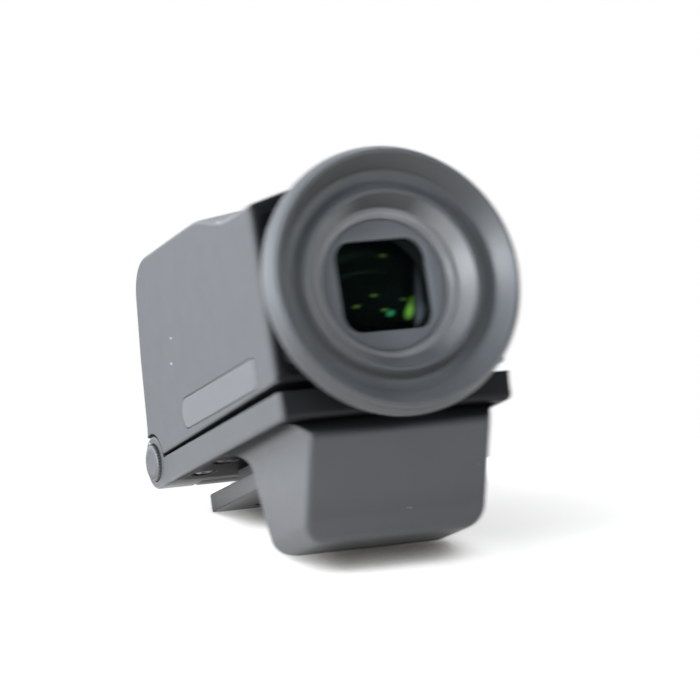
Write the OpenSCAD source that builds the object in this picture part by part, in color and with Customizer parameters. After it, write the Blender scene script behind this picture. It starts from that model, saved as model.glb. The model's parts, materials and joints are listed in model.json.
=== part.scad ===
// Clip-on tilting electronic viewfinder for a camera's accessory shoe.
// Frame: origin at the centre of the shoe foot's underside, +Z up, +Y from the eye towards the hinge,
// +X to the viewer's right. All lengths are in millimetres.

/* [Head] */
// Width of the head across the hinge
head_w = 25.6; // [25.4:0.1:27]
// Length from the head's rear face to the hinge axis
head_len = 39.4; // [39:0.1:41]
// Height of the head's flat top above the arm
head_h = 21.7; // [21.5:0.1:23]
// Wall thickness of the head housing
head_wall = 1.2; // [1.1:0.05:1.3]
// Gap between the head and the arm at the rear
head_gap = 0.95; // [0.9:0.05:1]
// Height of the outer edge of the sloped rear shoulders, above the arm
shoulder_h = 19.45; // [19.2:0.05:19.8]
// Slope of the rear shoulders
shoulder_deg = 16; // [14:1:18]

/* [Eyepiece] */
// Height of the optical axis above the arm
eye_h = 9.75; // [9.7:0.05:9.9]
// Outer radius of the eyecup
cup_r = 13.98; // [13.8:0.01:14.2]
// Width of the eyepiece window
window_w = 10.1; // [9.8:0.1:10.3]
// Height of the eyepiece window
window_h = 9.5; // [9:0.1:9.6]
// Corner radius of the eyepiece window
window_r = 2; // [1.6:0.1:2.4]
// Radius of the lenses
lens_r = 6.3; // [6.25:0.01:6.3]

/* [Hinge] */
// Outer radius of the hinge knuckles
hinge_r = 2.9; // [2.85:0.01:2.9]
// Radius of the hinge shaft
shaft_r = 1.0; // [0.9:0.05:1]
// Radial running clearance of the hinge and of the eyepiece
run_gap = 0.05; // [0.04:0.01:0.06]
// Half length of the head's middle knuckle
knuckle_x = 8.2; // [8:0.1:8.3]

/* [Base] */
// Width of the arm
arm_w = 25.5; // [25.4:0.1:26]
// Thickness of the arm
arm_t = 3.0; // [3:0.05:3.1]
// Height of the slots for the camera's shoe rails
rail_gap = 2.05; // [2:0.05:2.1]
// Width of the shoe foot
foot_w = 18.6; // [18.4:0.05:18.6]
// Length of the shoe foot
foot_l = 15.4; // [15.2:0.1:15.5]
// Thickness of the shoe foot
foot_t = 2.0; // [1.9:0.05:2]
// Width of the pedestal between the shoe rails
neck_w = 12.3; // [12:0.1:12.5]

/* [Connector box] */
// Width of the connector box
box_w = 20.1; // [19.8:0.1:20.4]
// Depth of the box below the foot's underside
box_drop = 8.0; // [7.9:0.05:8.1]
// Wall thickness of the box
box_wall = 1.2; // [1.1:0.05:1.3]
// Width of the plug
plug_w = 9.6; // [9.4:0.1:9.8]
// Height of the plug
plug_h = 3.2; // [3:0.1:3.2]

/* [Hidden] */

$fn = 64;
eps = 0.01;   // small overshoot of a cutting tool
fit = 0.03;   // gap between fixed pieces that touch

// Heights
arm_bottom = foot_t + rail_gap;
arm_top = arm_bottom + arm_t;
hinge_z = arm_bottom + hinge_r;
head_top = arm_top + head_h;
shoulder_z = arm_top + shoulder_h;
eye_z = arm_top + eye_h;
head_bottom_rear = arm_top + head_gap;
head_bottom_front = arm_top + 0.2;

// Places along the length
hinge_y = foot_l / 2 + 6;
head_rear = hinge_y - head_len;
arm_rear = head_rear - 0.35;
hinge_clear_r = hinge_r + 0.25;

// Places across the width
arm_knuckle_x = knuckle_x + 0.5;
half_arm = arm_w / 2;
half_head = head_w / 2;
cap_recess = 0.7;
cap_recess_r = 2.2;
cap_proud = 0.4;
bush_r = 1.8;

// Rear cover, its opening, and the screws that hold it
cover_t = 1.4;
cover_x = half_head - 0.95;
cover_low = head_bottom_rear + 0.75;
cover_high = shoulder_z - 0.95;
cover_screw_x = 10.4;
cover_screw_z = [eye_z - 6.0, eye_z + 6.6];

// Eyepiece stack: distances along the axis
sleeve_in = lens_r + 0.6;                // bore of the dioptre ring's sleeve
sleeve_out = sleeve_in + 0.6;
cell_out = sleeve_in - run_gap;
cell_in = lens_r + run_gap;
ring_face = head_rear - 2.25;            // sleeve end that faces the eye
ring_step = head_rear - 1.6;             // shoulder that the eyecup sits on
ring_back = head_rear - 0.15;
sleeve_end = head_rear + 4.4;
clip_y = head_rear + cover_t + 0.2;
mask_face = head_rear - 1.55;
mask_back = mask_face + 0.8;
cell_end = head_rear + 12.7;
tube_start = head_rear + 5.4;
tube_end = head_rear + 15.7;
plate_t = 1.2;
frame_end = head_rear + 24.2;
board_y = head_rear + 29.7;
board_t = 1.0;
key_y = head_rear + 6.9;
key_l = 2;
key_w = 1.2;

// Screws
small_shank = 0.5;
small_head = 0.95;
small_head_t = 0.5;
foot_shank = 0.55;
foot_head = 1.1;
foot_screw_x = 4.2;
foot_screw_y = [-1.6, 4.4];
arm_screw_x = 10.4;
arm_screw_y = [-1.8, 5.2];

// Arm cover
arm_cover_t = 0.9;
arm_cover_x = half_arm - 1.0;
arm_cover_rear = -4.3;
arm_cover_front = 8.6;
channel_x = 7;
channel_top = arm_top - 1.0;
flex_z = arm_top - 1.75;

// Pedestal
neck_rear = -4.1;
neck_front = foot_l / 2 - 0.9;

// Connector box: the front face leans back towards its foot and ends in a hollow curve under the arm
front_lean = 15.5;
hollow_r = 2.2;
box_top = arm_bottom - fit;
front_high = [-7.75, box_top - hollow_r * (1 - sin(front_lean))];
front_low = [front_high[0] - (front_high[1] + box_drop - 0.4) * tan(front_lean), -box_drop + 0.4];
plug_z = -3.7;
plug_tip = -4.8;
plug_root = -13.2;
plug_wall = 0.35;
plug_board_top = plug_z - plug_h / 2 - 0.3;
plug_board_t = 0.8;
front_cover_t = 1.2;
front_cover_x = box_w / 2 - 1.6;
front_cover_low = -3.9;
front_cover_high = 3.0;
front_screw_x = 7;
contact_n = 12;
contact_pitch = 0.58;

// ---------- geometry helpers ----------

function unit(v) = v / norm(v);

// Points of the arc that rounds corner b, between a and c, with radius r
function round_corner(a, b, c, r) =
    r <= 0 ? [b] :
    let (u = unit(a - b), v = unit(c - b),
         half = acos(max(-1, min(1, u * v))) / 2,
         o = b + unit(u + v) * r / sin(half),
         p = b + u * r / tan(half),
         q = b + v * r / tan(half),
         start = atan2(p[1] - o[1], p[0] - o[0]),
         turn = atan2(q[1] - o[1], q[0] - o[0]) - start,
         sweep = turn > 180 ? turn - 360 : turn < -180 ? turn + 360 : turn,
         n = max(3, ceil(abs(sweep) / 15)))
    [for (i = [0 : n]) o + r * [cos(start + sweep * i / n), sin(start + sweep * i / n)]];

// A closed outline from corners [x, y, rounding radius]
function rounded(corners) = let (n = len(corners), xy = [for (p = corners) [p[0], p[1]]])
    [for (i = [0 : n - 1])
        for (p = round_corner(xy[(i + n - 1) % n], xy[i], xy[(i + 1) % n], corners[i][2])) p];

// An arc of radius r about o from angle a to angle b
function arc(o, r, a, b, n = 12) = [for (i = [0 : n]) o + r * [cos(a + (b - a) * i / n), sin(a + (b - a) * i / n)]];

function rect(x, low, high, r) = rounded([[-x, low, r], [x, low, r], [x, high, r], [-x, high, r]]);

// A (Y, Z) outline drawn across the width w
module across(w) rotate([90, 0, 90]) linear_extrude(w, center = true) children();

// An (X, Z) outline drawn along Y from a to b
module along(a, b) translate([0, b, 0]) rotate([90, 0, 0]) linear_extrude(b - a) children();

// A solid of revolution about the optical axis from an outline of [radius, Y]
module turned(outline) translate([0, 0, eye_z]) rotate([-90, 0, 0]) rotate_extrude($fn = 96) polygon(outline);

module tube(r_out, r_in, a, b) turned([[r_in, a], [r_out, a], [r_out, b], [r_in, b]]);

// A cylinder across the head between x = a and x = b, on the hinge axis
module hinge_rod(r, a, b) translate([a, hinge_y, hinge_z]) rotate([0, 90, 0]) cylinder(h = b - a, r = r);

module both_sides() {
    children();
    mirror([1, 0, 0]) children();
}

// A box from corner a to corner b
module block(a, b) translate(a) cube(b - a);

// A pan-head screw along +Z with its head's outer face at z = 0
module screw(shank, length, head, head_t) {
    difference() {
        cylinder(h = head_t, r = head);
        translate([0, 0, -eps]) cylinder(h = head_t * 0.6, r = head * 0.4, $fn = 6);
    }
    translate([0, 0, head_t]) cylinder(h = length, r = shank);
}

// ---------- base body ----------

module arm_outline() polygon(rounded([
    [-half_arm, arm_rear, 0.6], [half_arm, arm_rear, 0.6], [half_arm, hinge_y, 0], [-half_arm, hinge_y, 0]]));

module arm_section() polygon(rounded([
    [-half_arm, arm_bottom, 0.7], [half_arm, arm_bottom, 0.7], [half_arm, arm_top, 0.15], [-half_arm, arm_top, 0.15]]));

module base_arm() color("#3a3c40") difference() {
    union() {
        intersection() {
            translate([0, 0, arm_bottom]) linear_extrude(arm_t) arm_outline();
            along(arm_rear, hinge_y) arm_section();
        }
        both_sides() hinge_rod(hinge_r, arm_knuckle_x, half_arm);
    }
    block([-arm_knuckle_x, hinge_y - hinge_clear_r, 0], [arm_knuckle_x, hinge_y + 5, 12]);
    block([-channel_x, arm_rear + 4, arm_bottom - eps], [channel_x, arm_cover_front - 0.3, channel_top]);
    block([-3.8, 0, flex_z - 0.1], [3.8, hinge_y, flex_z + 0.3]);
    translate([0, 0, arm_bottom - eps]) linear_extrude(arm_cover_t + eps)
        polygon(rounded([for (c = [[-1, arm_cover_rear - 0.1], [1, arm_cover_rear - 0.1],
            [1, arm_cover_front + 0.1], [-1, arm_cover_front + 0.1]]) [c[0] * (arm_cover_x + 0.1), c[1], 1.1]]));
    both_sides() {
        for (y = arm_screw_y) translate([arm_screw_x, y, arm_bottom]) cylinder(h = 2.4, r = small_shank + fit);
        hinge_rod(shaft_r + fit, arm_knuckle_x - 1, half_arm);
        hinge_rod(cap_recess_r, half_arm - cap_recess, half_arm + 1);
    }
}

module arm_cover() color("#2f3135") difference() {
    translate([0, 0, arm_bottom]) linear_extrude(arm_cover_t - fit)
        polygon(rounded([for (c = [[-1, arm_cover_rear], [1, arm_cover_rear], [1, arm_cover_front],
            [-1, arm_cover_front]]) [c[0] * arm_cover_x, c[1], 1]]));
    both_sides() {
        for (y = arm_screw_y) translate([arm_screw_x, y, arm_bottom - eps]) {
            cylinder(h = 2, r = small_shank + fit);
            cylinder(h = small_head_t, r = small_head + 0.1);
        }
        for (y = foot_screw_y) translate([foot_screw_x, y, arm_bottom - eps]) cylinder(h = 2, r = foot_shank + fit);
    }
}

module arm_cover_screws() color("#8d8f94") both_sides()
    for (y = arm_screw_y) translate([arm_screw_x, y, arm_bottom + 0.05])
        screw(small_shank, 1.6, small_head, small_head_t - 0.1);

module foot_pedestal() color("#2f3135") difference() {
    translate([0, 0, foot_t]) linear_extrude(rail_gap) polygon(rounded([
        [-neck_w / 2, neck_rear, 0.8], [neck_w / 2, neck_rear, 0.8],
        [neck_w / 2, neck_front, 0.8], [-neck_w / 2, neck_front, 0.8]]));
    both_sides() for (y = foot_screw_y)
        translate([foot_screw_x, y, foot_t - eps]) cylinder(h = rail_gap + 1, r = foot_shank + fit);
}

module shoe_foot() color("#56585c") difference() {
    intersection() {
        linear_extrude(foot_t) polygon(rounded([
            [-foot_w / 2, -foot_l / 2, 0.4], [foot_w / 2, -foot_l / 2, 0.4],
            [foot_w / 2, foot_l / 2, 0.4], [-foot_w / 2, foot_l / 2, 0.4]]));
        across(foot_w + 1) polygon(rounded([
            [-foot_l / 2, 0, 0.1], [foot_l / 2, 0, 0.35], [foot_l / 2, foot_t, 0.35], [-foot_l / 2, foot_t, 0.1]]));
    }
    both_sides() for (y = foot_screw_y) translate([foot_screw_x, y, -eps]) {
        cylinder(h = foot_t + 1, r = foot_shank + fit);
        cylinder(h = 0.85, r = foot_head + 0.08);
    }
}

module foot_screws() color("#a8aaad") both_sides()
    for (y = foot_screw_y) translate([foot_screw_x, y, 0.08]) screw(foot_shank, 4.1, foot_head, 0.7);

// Outline of the box from the side: the rear face leans forwards towards its foot, and the front face
// runs into the arm with a hollow curve
module box_outline() polygon(concat(
    rounded([[-8, box_top, 0], [-23.9, box_top, 0.6], [-26.25, 2.45, 0.9],
        [-19.9, -box_drop + 0.05, 1.2], [front_low[0] - 0.1, -box_drop, 1.9],
        [front_high[0] - tan(front_lean), front_high[1] - 1, 0]]),
    arc(front_high + hollow_r * [cos(front_lean), -sin(front_lean)], hollow_r, 180 - front_lean, 90, 6)));

// Outline of the box from the rear: round bottom corners, and sides that flare out under the arm
function box_rear_outline() = concat(
    rounded([[-box_w / 2, box_top - hollow_r - 1, 0], [-box_w / 2, -box_drop, 2.2],
        [box_w / 2, -box_drop, 2.2], [box_w / 2, box_top - hollow_r - 1, 0]]),
    arc([box_w / 2 + hollow_r, box_top - hollow_r], hollow_r, 180, 90, 6),
    arc([-box_w / 2 - hollow_r, box_top - hollow_r], hollow_r, 90, 0, 6));

module box_cavity() polygon(rounded([
    [-12, arm_bottom - 1.2, 0.3], [-23.6, arm_bottom - 1.2, 0.3], [-24.6, 1.6, 0.5],
    [-19.2, -box_drop + 1.25, 0.8], [front_low[0] - 1.2, -box_drop + 1.3, 0.8], [front_high[0] - 1.6, 1.2, 0.3]]));

// Frame of the front cover: local z points out of the front face, local y runs up along it
module on_front_face() translate([0, (front_low[0] + front_high[0]) / 2, (front_low[1] + front_high[1]) / 2])
    rotate([-90 - front_lean, 0, 0]) mirror([0, 1, 0]) children();

module box_shell() color("#3a3c40") difference() {
    union() {
        difference() {
            intersection() {
                across(box_w + 2 * hollow_r) box_outline();
                along(-30, 0) polygon(box_rear_outline());
                translate([0, 0, -10]) linear_extrude(20) polygon(rounded([
                    [-box_w / 2 - hollow_r, -26.3, 2], [box_w / 2 + hollow_r, -26.3, 2],
                    [box_w / 2 + hollow_r, 0, 0], [-box_w / 2 - hollow_r, 0, 0]]));
            }
            across(box_w - 2 * box_wall) box_cavity();
        }
        both_sides() on_front_face() block([front_screw_x - 1, -1.2, -5], [box_w / 2 - 0.5, 1.2, -0.5]);
    }
    on_front_face() translate([0, 0, -front_cover_t]) linear_extrude(5)
        polygon(rect(front_cover_x + 0.05, front_cover_low - 0.05, front_cover_high + 0.05, 0.8));
    on_front_face() translate([0, 0, -3.2]) linear_extrude(5)
        polygon(rect(front_screw_x - 1.2, front_cover_low + 0.4, front_cover_high - 0.8, 0.3));
    both_sides() on_front_face() translate([front_screw_x, 0, -6]) cylinder(h = 7, r = small_shank + fit);
    block([-5, -21, 1], [5, -13, 6]);
}

module box_front_cover() color("#2f3135") difference() {
    on_front_face() translate([0, 0, -front_cover_t]) linear_extrude(front_cover_t)
        polygon(rect(front_cover_x, front_cover_low, front_cover_high, 0.75));
    along(-16, 0) polygon(rect(plug_w / 2 + fit, plug_z - plug_h / 2 - fit, plug_z + plug_h / 2 + fit, 1));
    both_sides() on_front_face() translate([front_screw_x, 0, -3]) {
        cylinder(h = 4, r = small_shank + fit);
        translate([0, 0, 3 - small_head_t]) cylinder(h = 2, r = small_head + 0.1);
    }
}

module box_cover_screws() color("#8d8f94") both_sides() on_front_face()
    translate([front_screw_x, 0, -0.05]) mirror([0, 0, 1]) screw(small_shank, 3.4, small_head, small_head_t - 0.1);

module plug_shell() color("silver") difference() {
    along(plug_root, plug_tip) polygon(rect(plug_w / 2, plug_z - plug_h / 2, plug_z + plug_h / 2, 1));
    along(plug_root - 1, plug_tip + 1) polygon(rect(plug_w / 2 - plug_wall, plug_z - plug_h / 2 + plug_wall,
        plug_z + plug_h / 2 - plug_wall, 0.7));
}

module plug_tongue() color("#1c1c1e") {
    along(plug_root + 0.2, plug_root + 2.4)
        polygon(rect(plug_w / 2 - plug_wall - fit, plug_z - plug_h / 2 + plug_wall + fit,
            plug_z + plug_h / 2 - plug_wall - fit, 0.7));
    along(plug_root + 2, plug_tip - 0.6) polygon(rect(plug_w / 2 - 1, plug_z - 0.35, plug_z + 0.35, 0.1));
}

module plug_contacts() color("gold") for (i = [0 : contact_n - 1], side = [-1, 1])
    translate([(i - (contact_n - 1) / 2) * contact_pitch, 0, plug_z + side * 0.47])
        block([-0.15, plug_root + 2.5, -0.08], [0.15, plug_tip - 0.9, 0.08]);

module plug_board() color("darkgreen")
    block([-6.8, -18.2, plug_board_top - plug_board_t], [6.8, -12.7, plug_board_top]);

// Flexible cable of the base: up from the plug's board and along the arm to the hinge
module arm_flex() color("#b06a2c") across(7) polygon([
    [-17.2, plug_board_top + fit], [-17.0, plug_board_top + fit], [-17.0, flex_z], [hinge_y - 3.4, flex_z],
    [hinge_y - 3.4, flex_z + 0.2], [-17.2, flex_z + 0.2]]);

module hinge_shaft() color("silver") hinge_rod(shaft_r, -half_arm + 0.85, half_arm - 0.85);

module hinge_caps() color("#4a4c50") both_sides() {
    hinge_rod(1.8, half_arm - cap_recess + fit, half_arm + cap_proud);
    translate([half_arm - cap_recess + fit, hinge_y, hinge_z]) rotate([0, 90, 0])
        linear_extrude(cap_recess + cap_proud - 0.1) polygon([for (i = [0 : 71])
            (i % 2 == 0 ? 1.94 : 2.05) * [cos(i * 5), sin(i * 5)]]);
}

module wave_washers() color("silver") both_sides() difference() {
    hinge_rod(2.6, knuckle_x + 0.1, arm_knuckle_x - 0.1);
    hinge_rod(shaft_r + run_gap, knuckle_x, arm_knuckle_x);
}

// ---------- head body ----------

// Side outline of the head: flat top, rounded front corner, front face leaning out down to the hinge,
// and a hollow arc that clears the knuckles
module head_outline() polygon(concat(
    rounded([[hinge_y - hinge_clear_r, head_bottom_front, 0], [head_rear, head_bottom_rear, 0.5],
        [head_rear, head_top, 0.5], [11.2, head_top, 4.6], [13.5, 18.4, 14], [14.75, 10.2, 0]]),
    arc([hinge_y, hinge_z], hinge_clear_r, 68, 170, 12)));

module head_cavity() polygon(rounded([
    [9.3, head_bottom_front + 0.85, 0.2], [head_rear + cover_t - eps, head_bottom_rear + 0.8, 0],
    [head_rear + cover_t - eps, shoulder_z - 1.3, 0], [-17, shoulder_z - 1.1, 2], [-8.5, head_top - 1.2, 2],
    [10.0, head_top - 1.2, 3.6], [12.2, 18.4, 8], [12.8, 11.6, 0.3], [10.6, 10.1, 0.5]]));

// The sloped shoulder at one side of the rear top, which runs out towards the front
module shoulder_cut() translate([half_head, 0, shoulder_z]) rotate([0, shoulder_deg, 0])
    translate([-4, 0, 0]) across(22) polygon(rounded([
        [head_rear - 2, 0, 0], [-17, 0, 9], [-9.2, 2.4, 0], [-9.2, 12, 0], [head_rear - 2, 12, 0]]));

module inlay_outline(grow) polygon(rounded([
    [-20.4 - grow, eye_z - 8.3 - grow, 0.6], [2.7 + grow, eye_z - 8.3 - grow, 1.5 + grow],
    [2.7 + grow, eye_z - 5.1 + grow, 1.5 + grow], [-20.4 - grow, eye_z - 5.1 + grow, 0.6]]));

inlay_depth = 0.5;

// The cable slot runs from the hinge axis up into the head: local y points along it
slot_deg = 128;
flex_turn_y = hinge_y + 5.25 * cos(slot_deg);
flex_turn_z = hinge_z + 5.3 * sin(slot_deg);
module on_slot() translate([0, hinge_y, hinge_z]) rotate([slot_deg, 0, 0]) children();

module screw_posts(z_list, x, a, b, r) both_sides() for (z = z_list)
    translate([x, a, z]) rotate([-90, 0, 0]) cylinder(h = b - a, r = r);

tube_screw_z = [eye_z - 5.6, eye_z + 6.2];
board_screw_z = [eye_z - 4.8, eye_z + 5.4];

module head_housing() color("#3a3c40") difference() {
    union() {
        difference() {
            intersection() {
                across(head_w) head_outline();
                translate([0, 0, -1]) linear_extrude(40) polygon(rounded([
                    [-half_head, head_rear, 0.8], [half_head, head_rear, 0.8],
                    [half_head, 14.9, 0.5], [-half_head, 14.9, 0.5]]));
            }
            both_sides() shoulder_cut();
            across(head_w - 2 * head_wall) head_cavity();
        }
        hinge_rod(hinge_r, -knuckle_x, knuckle_x);
        across(2 * knuckle_x) polygon(concat(arc([hinge_y, hinge_z], hinge_r - 0.5, 60, 150, 9),
            arc([hinge_y, hinge_z], hinge_clear_r + 0.3, 150, 75, 9)));
        intersection() {
            across(head_w) head_outline();
            union() {
                screw_posts(cover_screw_z, cover_screw_x, head_rear + cover_t, head_rear + 5.2, 1.3);
                screw_posts(tube_screw_z, cover_screw_x, tube_end + plate_t, tube_end + 5, 1.3);
                screw_posts(board_screw_z, cover_screw_x, board_y + board_t, board_y + 4.6, 1.3);
            }
        }
    }
    along(head_rear - 1, head_rear + cover_t) polygon(rect(cover_x, cover_low, cover_high, 1.2));
    screw_posts(cover_screw_z, cover_screw_x, head_rear, head_rear + 4.7, small_shank + fit);
    screw_posts(tube_screw_z, cover_screw_x, tube_end, tube_end + 4.4, small_shank + fit);
    screw_posts(board_screw_z, cover_screw_x, board_y, board_y + 4, small_shank + fit);
    hinge_rod(bush_r + fit, -knuckle_x - 1, knuckle_x + 1);
    on_slot() block([-4.4, 1.2, -0.45], [4.4, 5.2, 0.45]);
    both_sides() translate([half_head - inlay_depth / 2 + 0.5, 0, 0]) across(inlay_depth + 1) inlay_outline(0.1);
}

module rear_cover() color("#2b2d30") difference() {
    along(head_rear + 0.1, head_rear + cover_t - fit)
        polygon(rect(cover_x - 0.06, cover_low + 0.06, cover_high - 0.06, 1.15));
    tube(sleeve_out + run_gap, 0, head_rear - 1, head_rear + 3);
    screw_posts(cover_screw_z, cover_screw_x, head_rear - 1, head_rear + 3, small_shank + fit);
    screw_posts(cover_screw_z, cover_screw_x, head_rear - 1, head_rear + 0.1 + small_head_t, small_head + 0.1);
}

module screw_set(z_list, y, length) both_sides() for (z = z_list)
    translate([cover_screw_x, y, z]) rotate([-90, 0, 0]) screw(small_shank, length, small_head, small_head_t - 0.1);

module rear_cover_screws() color("#8d8f94") screw_set(cover_screw_z, head_rear + 0.15, 3.6);

module side_inlays() color("#45474b") both_sides()
    translate([half_head - inlay_depth / 2 + 0.04, 0, 0]) across(inlay_depth) inlay_outline(0);

module lens_tube() color("#202124") difference() {
    union() {
        tube(sleeve_out, sleeve_in, tube_start, tube_end + 0.1);
        difference() {
            along(tube_end, tube_end + plate_t)
                polygon(rect(half_head - head_wall - 0.2, eye_z - 7.3, eye_z + 7.6, 0.8));
            tube(lens_r - 0.2, 0, tube_end - 1, tube_end + 3);
        }
    }
    both_sides() block([sleeve_in - 0.3, tube_start - 1, eye_z - key_w / 2 - run_gap],
        [sleeve_out + 0.5, key_y + key_l + 1.6, eye_z + key_w / 2 + run_gap]);
    screw_posts(tube_screw_z, cover_screw_x, tube_end - 1, tube_end + 3, small_shank + fit);
}

module tube_screws() color("#8d8f94") screw_set(tube_screw_z, tube_end - small_head_t + 0.1 - fit, 4);

module display_frame() color("#202124") difference() {
    along(tube_end + plate_t + fit, frame_end) polygon(rect(8.9, eye_z - 7, eye_z + 7, 0.8));
    along(tube_end, frame_end - 1.2) polygon(rect(8, eye_z - 6.2, eye_z + 6.2, 0.6));
    along(tube_end, frame_end + 1) polygon(rect(6.2, eye_z - 4.7, eye_z + 4.7, 0.3));
}

module display_panel() color("#10131a")
    along(frame_end + fit, frame_end + 1.2) polygon(rect(8.3, eye_z - 6.6, eye_z + 6.6, 0.3));

module backlight() color("#d8dce0")
    along(frame_end + 1.2 + fit, frame_end + 3) polygon(rect(8.3, eye_z - 6.6, eye_z + 6.6, 0.3));

module display_board() color("darkgreen") difference() {
    along(board_y, board_y + board_t - fit) polygon(rect(half_head - head_wall - 0.2, eye_z - 6.9, eye_z + 7.6, 0.6));
    screw_posts(board_screw_z, cover_screw_x, board_y - 1, board_y + 2, small_shank + fit);
}

// Processor, memory chips, connector and small parts on the display's board
module board_chips() color("#18191b") {
    along(board_y + board_t, board_y + board_t + 1) polygon(rect(3.6, eye_z - 1.6, eye_z + 5.6, 0.1));
    both_sides() along(board_y + board_t, board_y + board_t + 0.9)
        translate([6.4, 0]) polygon(rect(1.4, eye_z - 2, eye_z + 3.4, 0.1));
    along(board_y - 1.1, board_y - fit) polygon(rect(5, eye_z - 6.2, eye_z - 4, 0.2));
    for (i = [0 : 6]) translate([-7.2 + 2.4 * i, 0])
        along(board_y + board_t, board_y + board_t + 0.5) polygon(rect(0.4, eye_z - 4.6, eye_z - 3.9, 0.05));
}

module board_screws() color("#8d8f94") screw_set(board_screw_z, board_y - small_head_t + 0.1 - fit, 3.6);

// Flexible cable of the head: from the board, through the knuckle's slot and once round the shaft
module head_flex() color("#b06a2c") {
    across(7) polygon([
        [board_y + board_t + fit, eye_z - 5], [board_y + board_t + 0.2, eye_z - 5],
        [board_y + board_t + 0.2, flex_turn_z], [flex_turn_y, flex_turn_z],
        [flex_turn_y, flex_turn_z - 0.2], [board_y + board_t + fit, flex_turn_z - 0.2]]);
    across(7) polygon(concat(arc([hinge_y, hinge_z], 1.5, slot_deg, 400, 20),
        arc([hinge_y, hinge_z], 1.3, 400, slot_deg, 20)));
    on_slot() block([-3.5, 1.35, -0.1], [3.5, 5.3, 0.1]);
}

module hinge_bushes() color("#c9a24a") both_sides() difference() {
    hinge_rod(bush_r, 5.2, knuckle_x);
    hinge_rod(shaft_r + run_gap, 5, knuckle_x + 1);
}

// ---------- dioptre ring body ----------

module dioptre_ring() color("#2b2d30") difference() {
    union() {
        turned([[sleeve_in, ring_face], [8.1, ring_face], [8.1, ring_step], [8.9, ring_step], [8.9, ring_step + 0.75],
            [9.25, ring_step + 0.75], [9.25, ring_back], [sleeve_out, ring_back], [sleeve_out, sleeve_end],
            [sleeve_in, sleeve_end]]);
        translate([0, 0, eye_z]) rotate([-90, 0, 0]) translate([0, 0, ring_step + 0.8])
            linear_extrude(ring_back - ring_step - 0.85) difference() {
                polygon([for (i = [0 : 143]) (i % 2 == 0 ? 9.28 : 9.4) * [cos(i * 2.5), sin(i * 2.5)]]);
                circle(r = 9.1);
            }
    }
    tube(sleeve_out + 1, sleeve_out - 0.3, clip_y, clip_y + 0.6);
}

module ring_clip() color("silver") difference() {
    tube(sleeve_out + 0.4, sleeve_out - 0.28, clip_y + 0.05, clip_y + 0.55);
    block([-1.4, clip_y - 1, eye_z], [1.4, clip_y + 2, eye_z + 12]);
}

// Rubber eyecup: conical lip, shallow valley, raised inner ring and a neck that grips the dioptre ring
module eyecup() color("#2a2b2d") turned(rounded([
    [8.15, ring_step - 0.02, 0.02], [8.15, ring_face - 0.05, 0], [7.85, ring_face - 0.05, 0.05],
    [7.85, ring_face - 0.35, 0.1], [9.05, head_rear - 4.15, 0.25], [9.4, head_rear - 4.2, 0.2],
    [10.35, head_rear - 3.2, 0.6], [11.45, head_rear - 3.4, 0.5],
    [12.95, head_rear - 5.38, 0.15], [13.3, head_rear - 5.4, 0.2], [13.52, head_rear - 4.9, 0.05],
    [13.42, head_rear - 4.78, 0.03], [13.62, head_rear - 4.66, 0.05], [cup_r, head_rear - 3.85, 0.3],
    [cup_r, head_rear - 3.3, 0.3], [13.5, head_rear - 2.8, 0.3], [11, head_rear - 2.1, 0.8],
    [10.2, head_rear - 0.9, 0.3], [8.95, head_rear - 0.9, 0.05], [8.95, ring_step - 0.02, 0.02]]));

// ---------- lens cell body ----------

module lens_cell() color("#202124") {
    tube(cell_out, cell_in, mask_back + fit, cell_end);
    both_sides() block([cell_out - 0.2, key_y, eye_z - key_w / 2], [sleeve_out - 0.1, key_y + key_l, eye_z + key_w / 2]);
}

module eyepiece_mask() color("#45474b") difference() {
    tube(cell_out - 0.04, 0, mask_face, mask_back);
    along(mask_face - 1, mask_back + 1) translate([0, eye_z]) polygon(rounded([for (c = [[-1, -1], [1, -1], [1, 1], [-1, 1]])
        [c[0] * window_w / 2, c[1] * window_h / 2, window_r]]));
}

glass_back = mask_back + 1.0;

module window_glass() color("#20303a") tube(lens_r, 0, mask_back + fit, glass_back);

// A lens with centre thickness from a to b; bulge_a and bulge_b are the heights of its two faces
module lens(a, b, bulge_a, bulge_b) turned(concat(
    [for (i = [0 : 8]) let (s = i / 8) [lens_r * s, a + bulge_a * s * s]],
    [for (i = [8 : -1 : 0]) let (s = i / 8) [lens_r * s, b - bulge_b * s * s]]));

eye_lens_y = [glass_back + 0.2, glass_back + 5.2];
second_lens_y = [eye_lens_y[1] + 0.3, eye_lens_y[1] + 2.5];
third_lens_y = [second_lens_y[1] + 0.3, second_lens_y[1] + 2.9];

module eye_lens() color("#1c3c30") lens(eye_lens_y[0], eye_lens_y[1], 1.4, 1.6);
module second_lens() color("#1c3c30") lens(second_lens_y[0], second_lens_y[1], -0.6, 0.3);
module third_lens() color("#1c3c30") lens(third_lens_y[0], third_lens_y[1], 0.8, 0.6);

module lens_spacers() color("#18191b") {
    tube(lens_r, lens_r - 0.5, glass_back + fit, eye_lens_y[0] + 1.2);
    tube(lens_r, lens_r - 0.5, eye_lens_y[1] - 1.3, second_lens_y[0] - 0.65);
    tube(lens_r, lens_r - 0.5, second_lens_y[1] - 0.2, third_lens_y[0] + 0.6);
}

module lens_retainer() color("#202124") tube(lens_r, lens_r - 0.7, third_lens_y[1] - 0.4, cell_end - 0.1);

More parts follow.
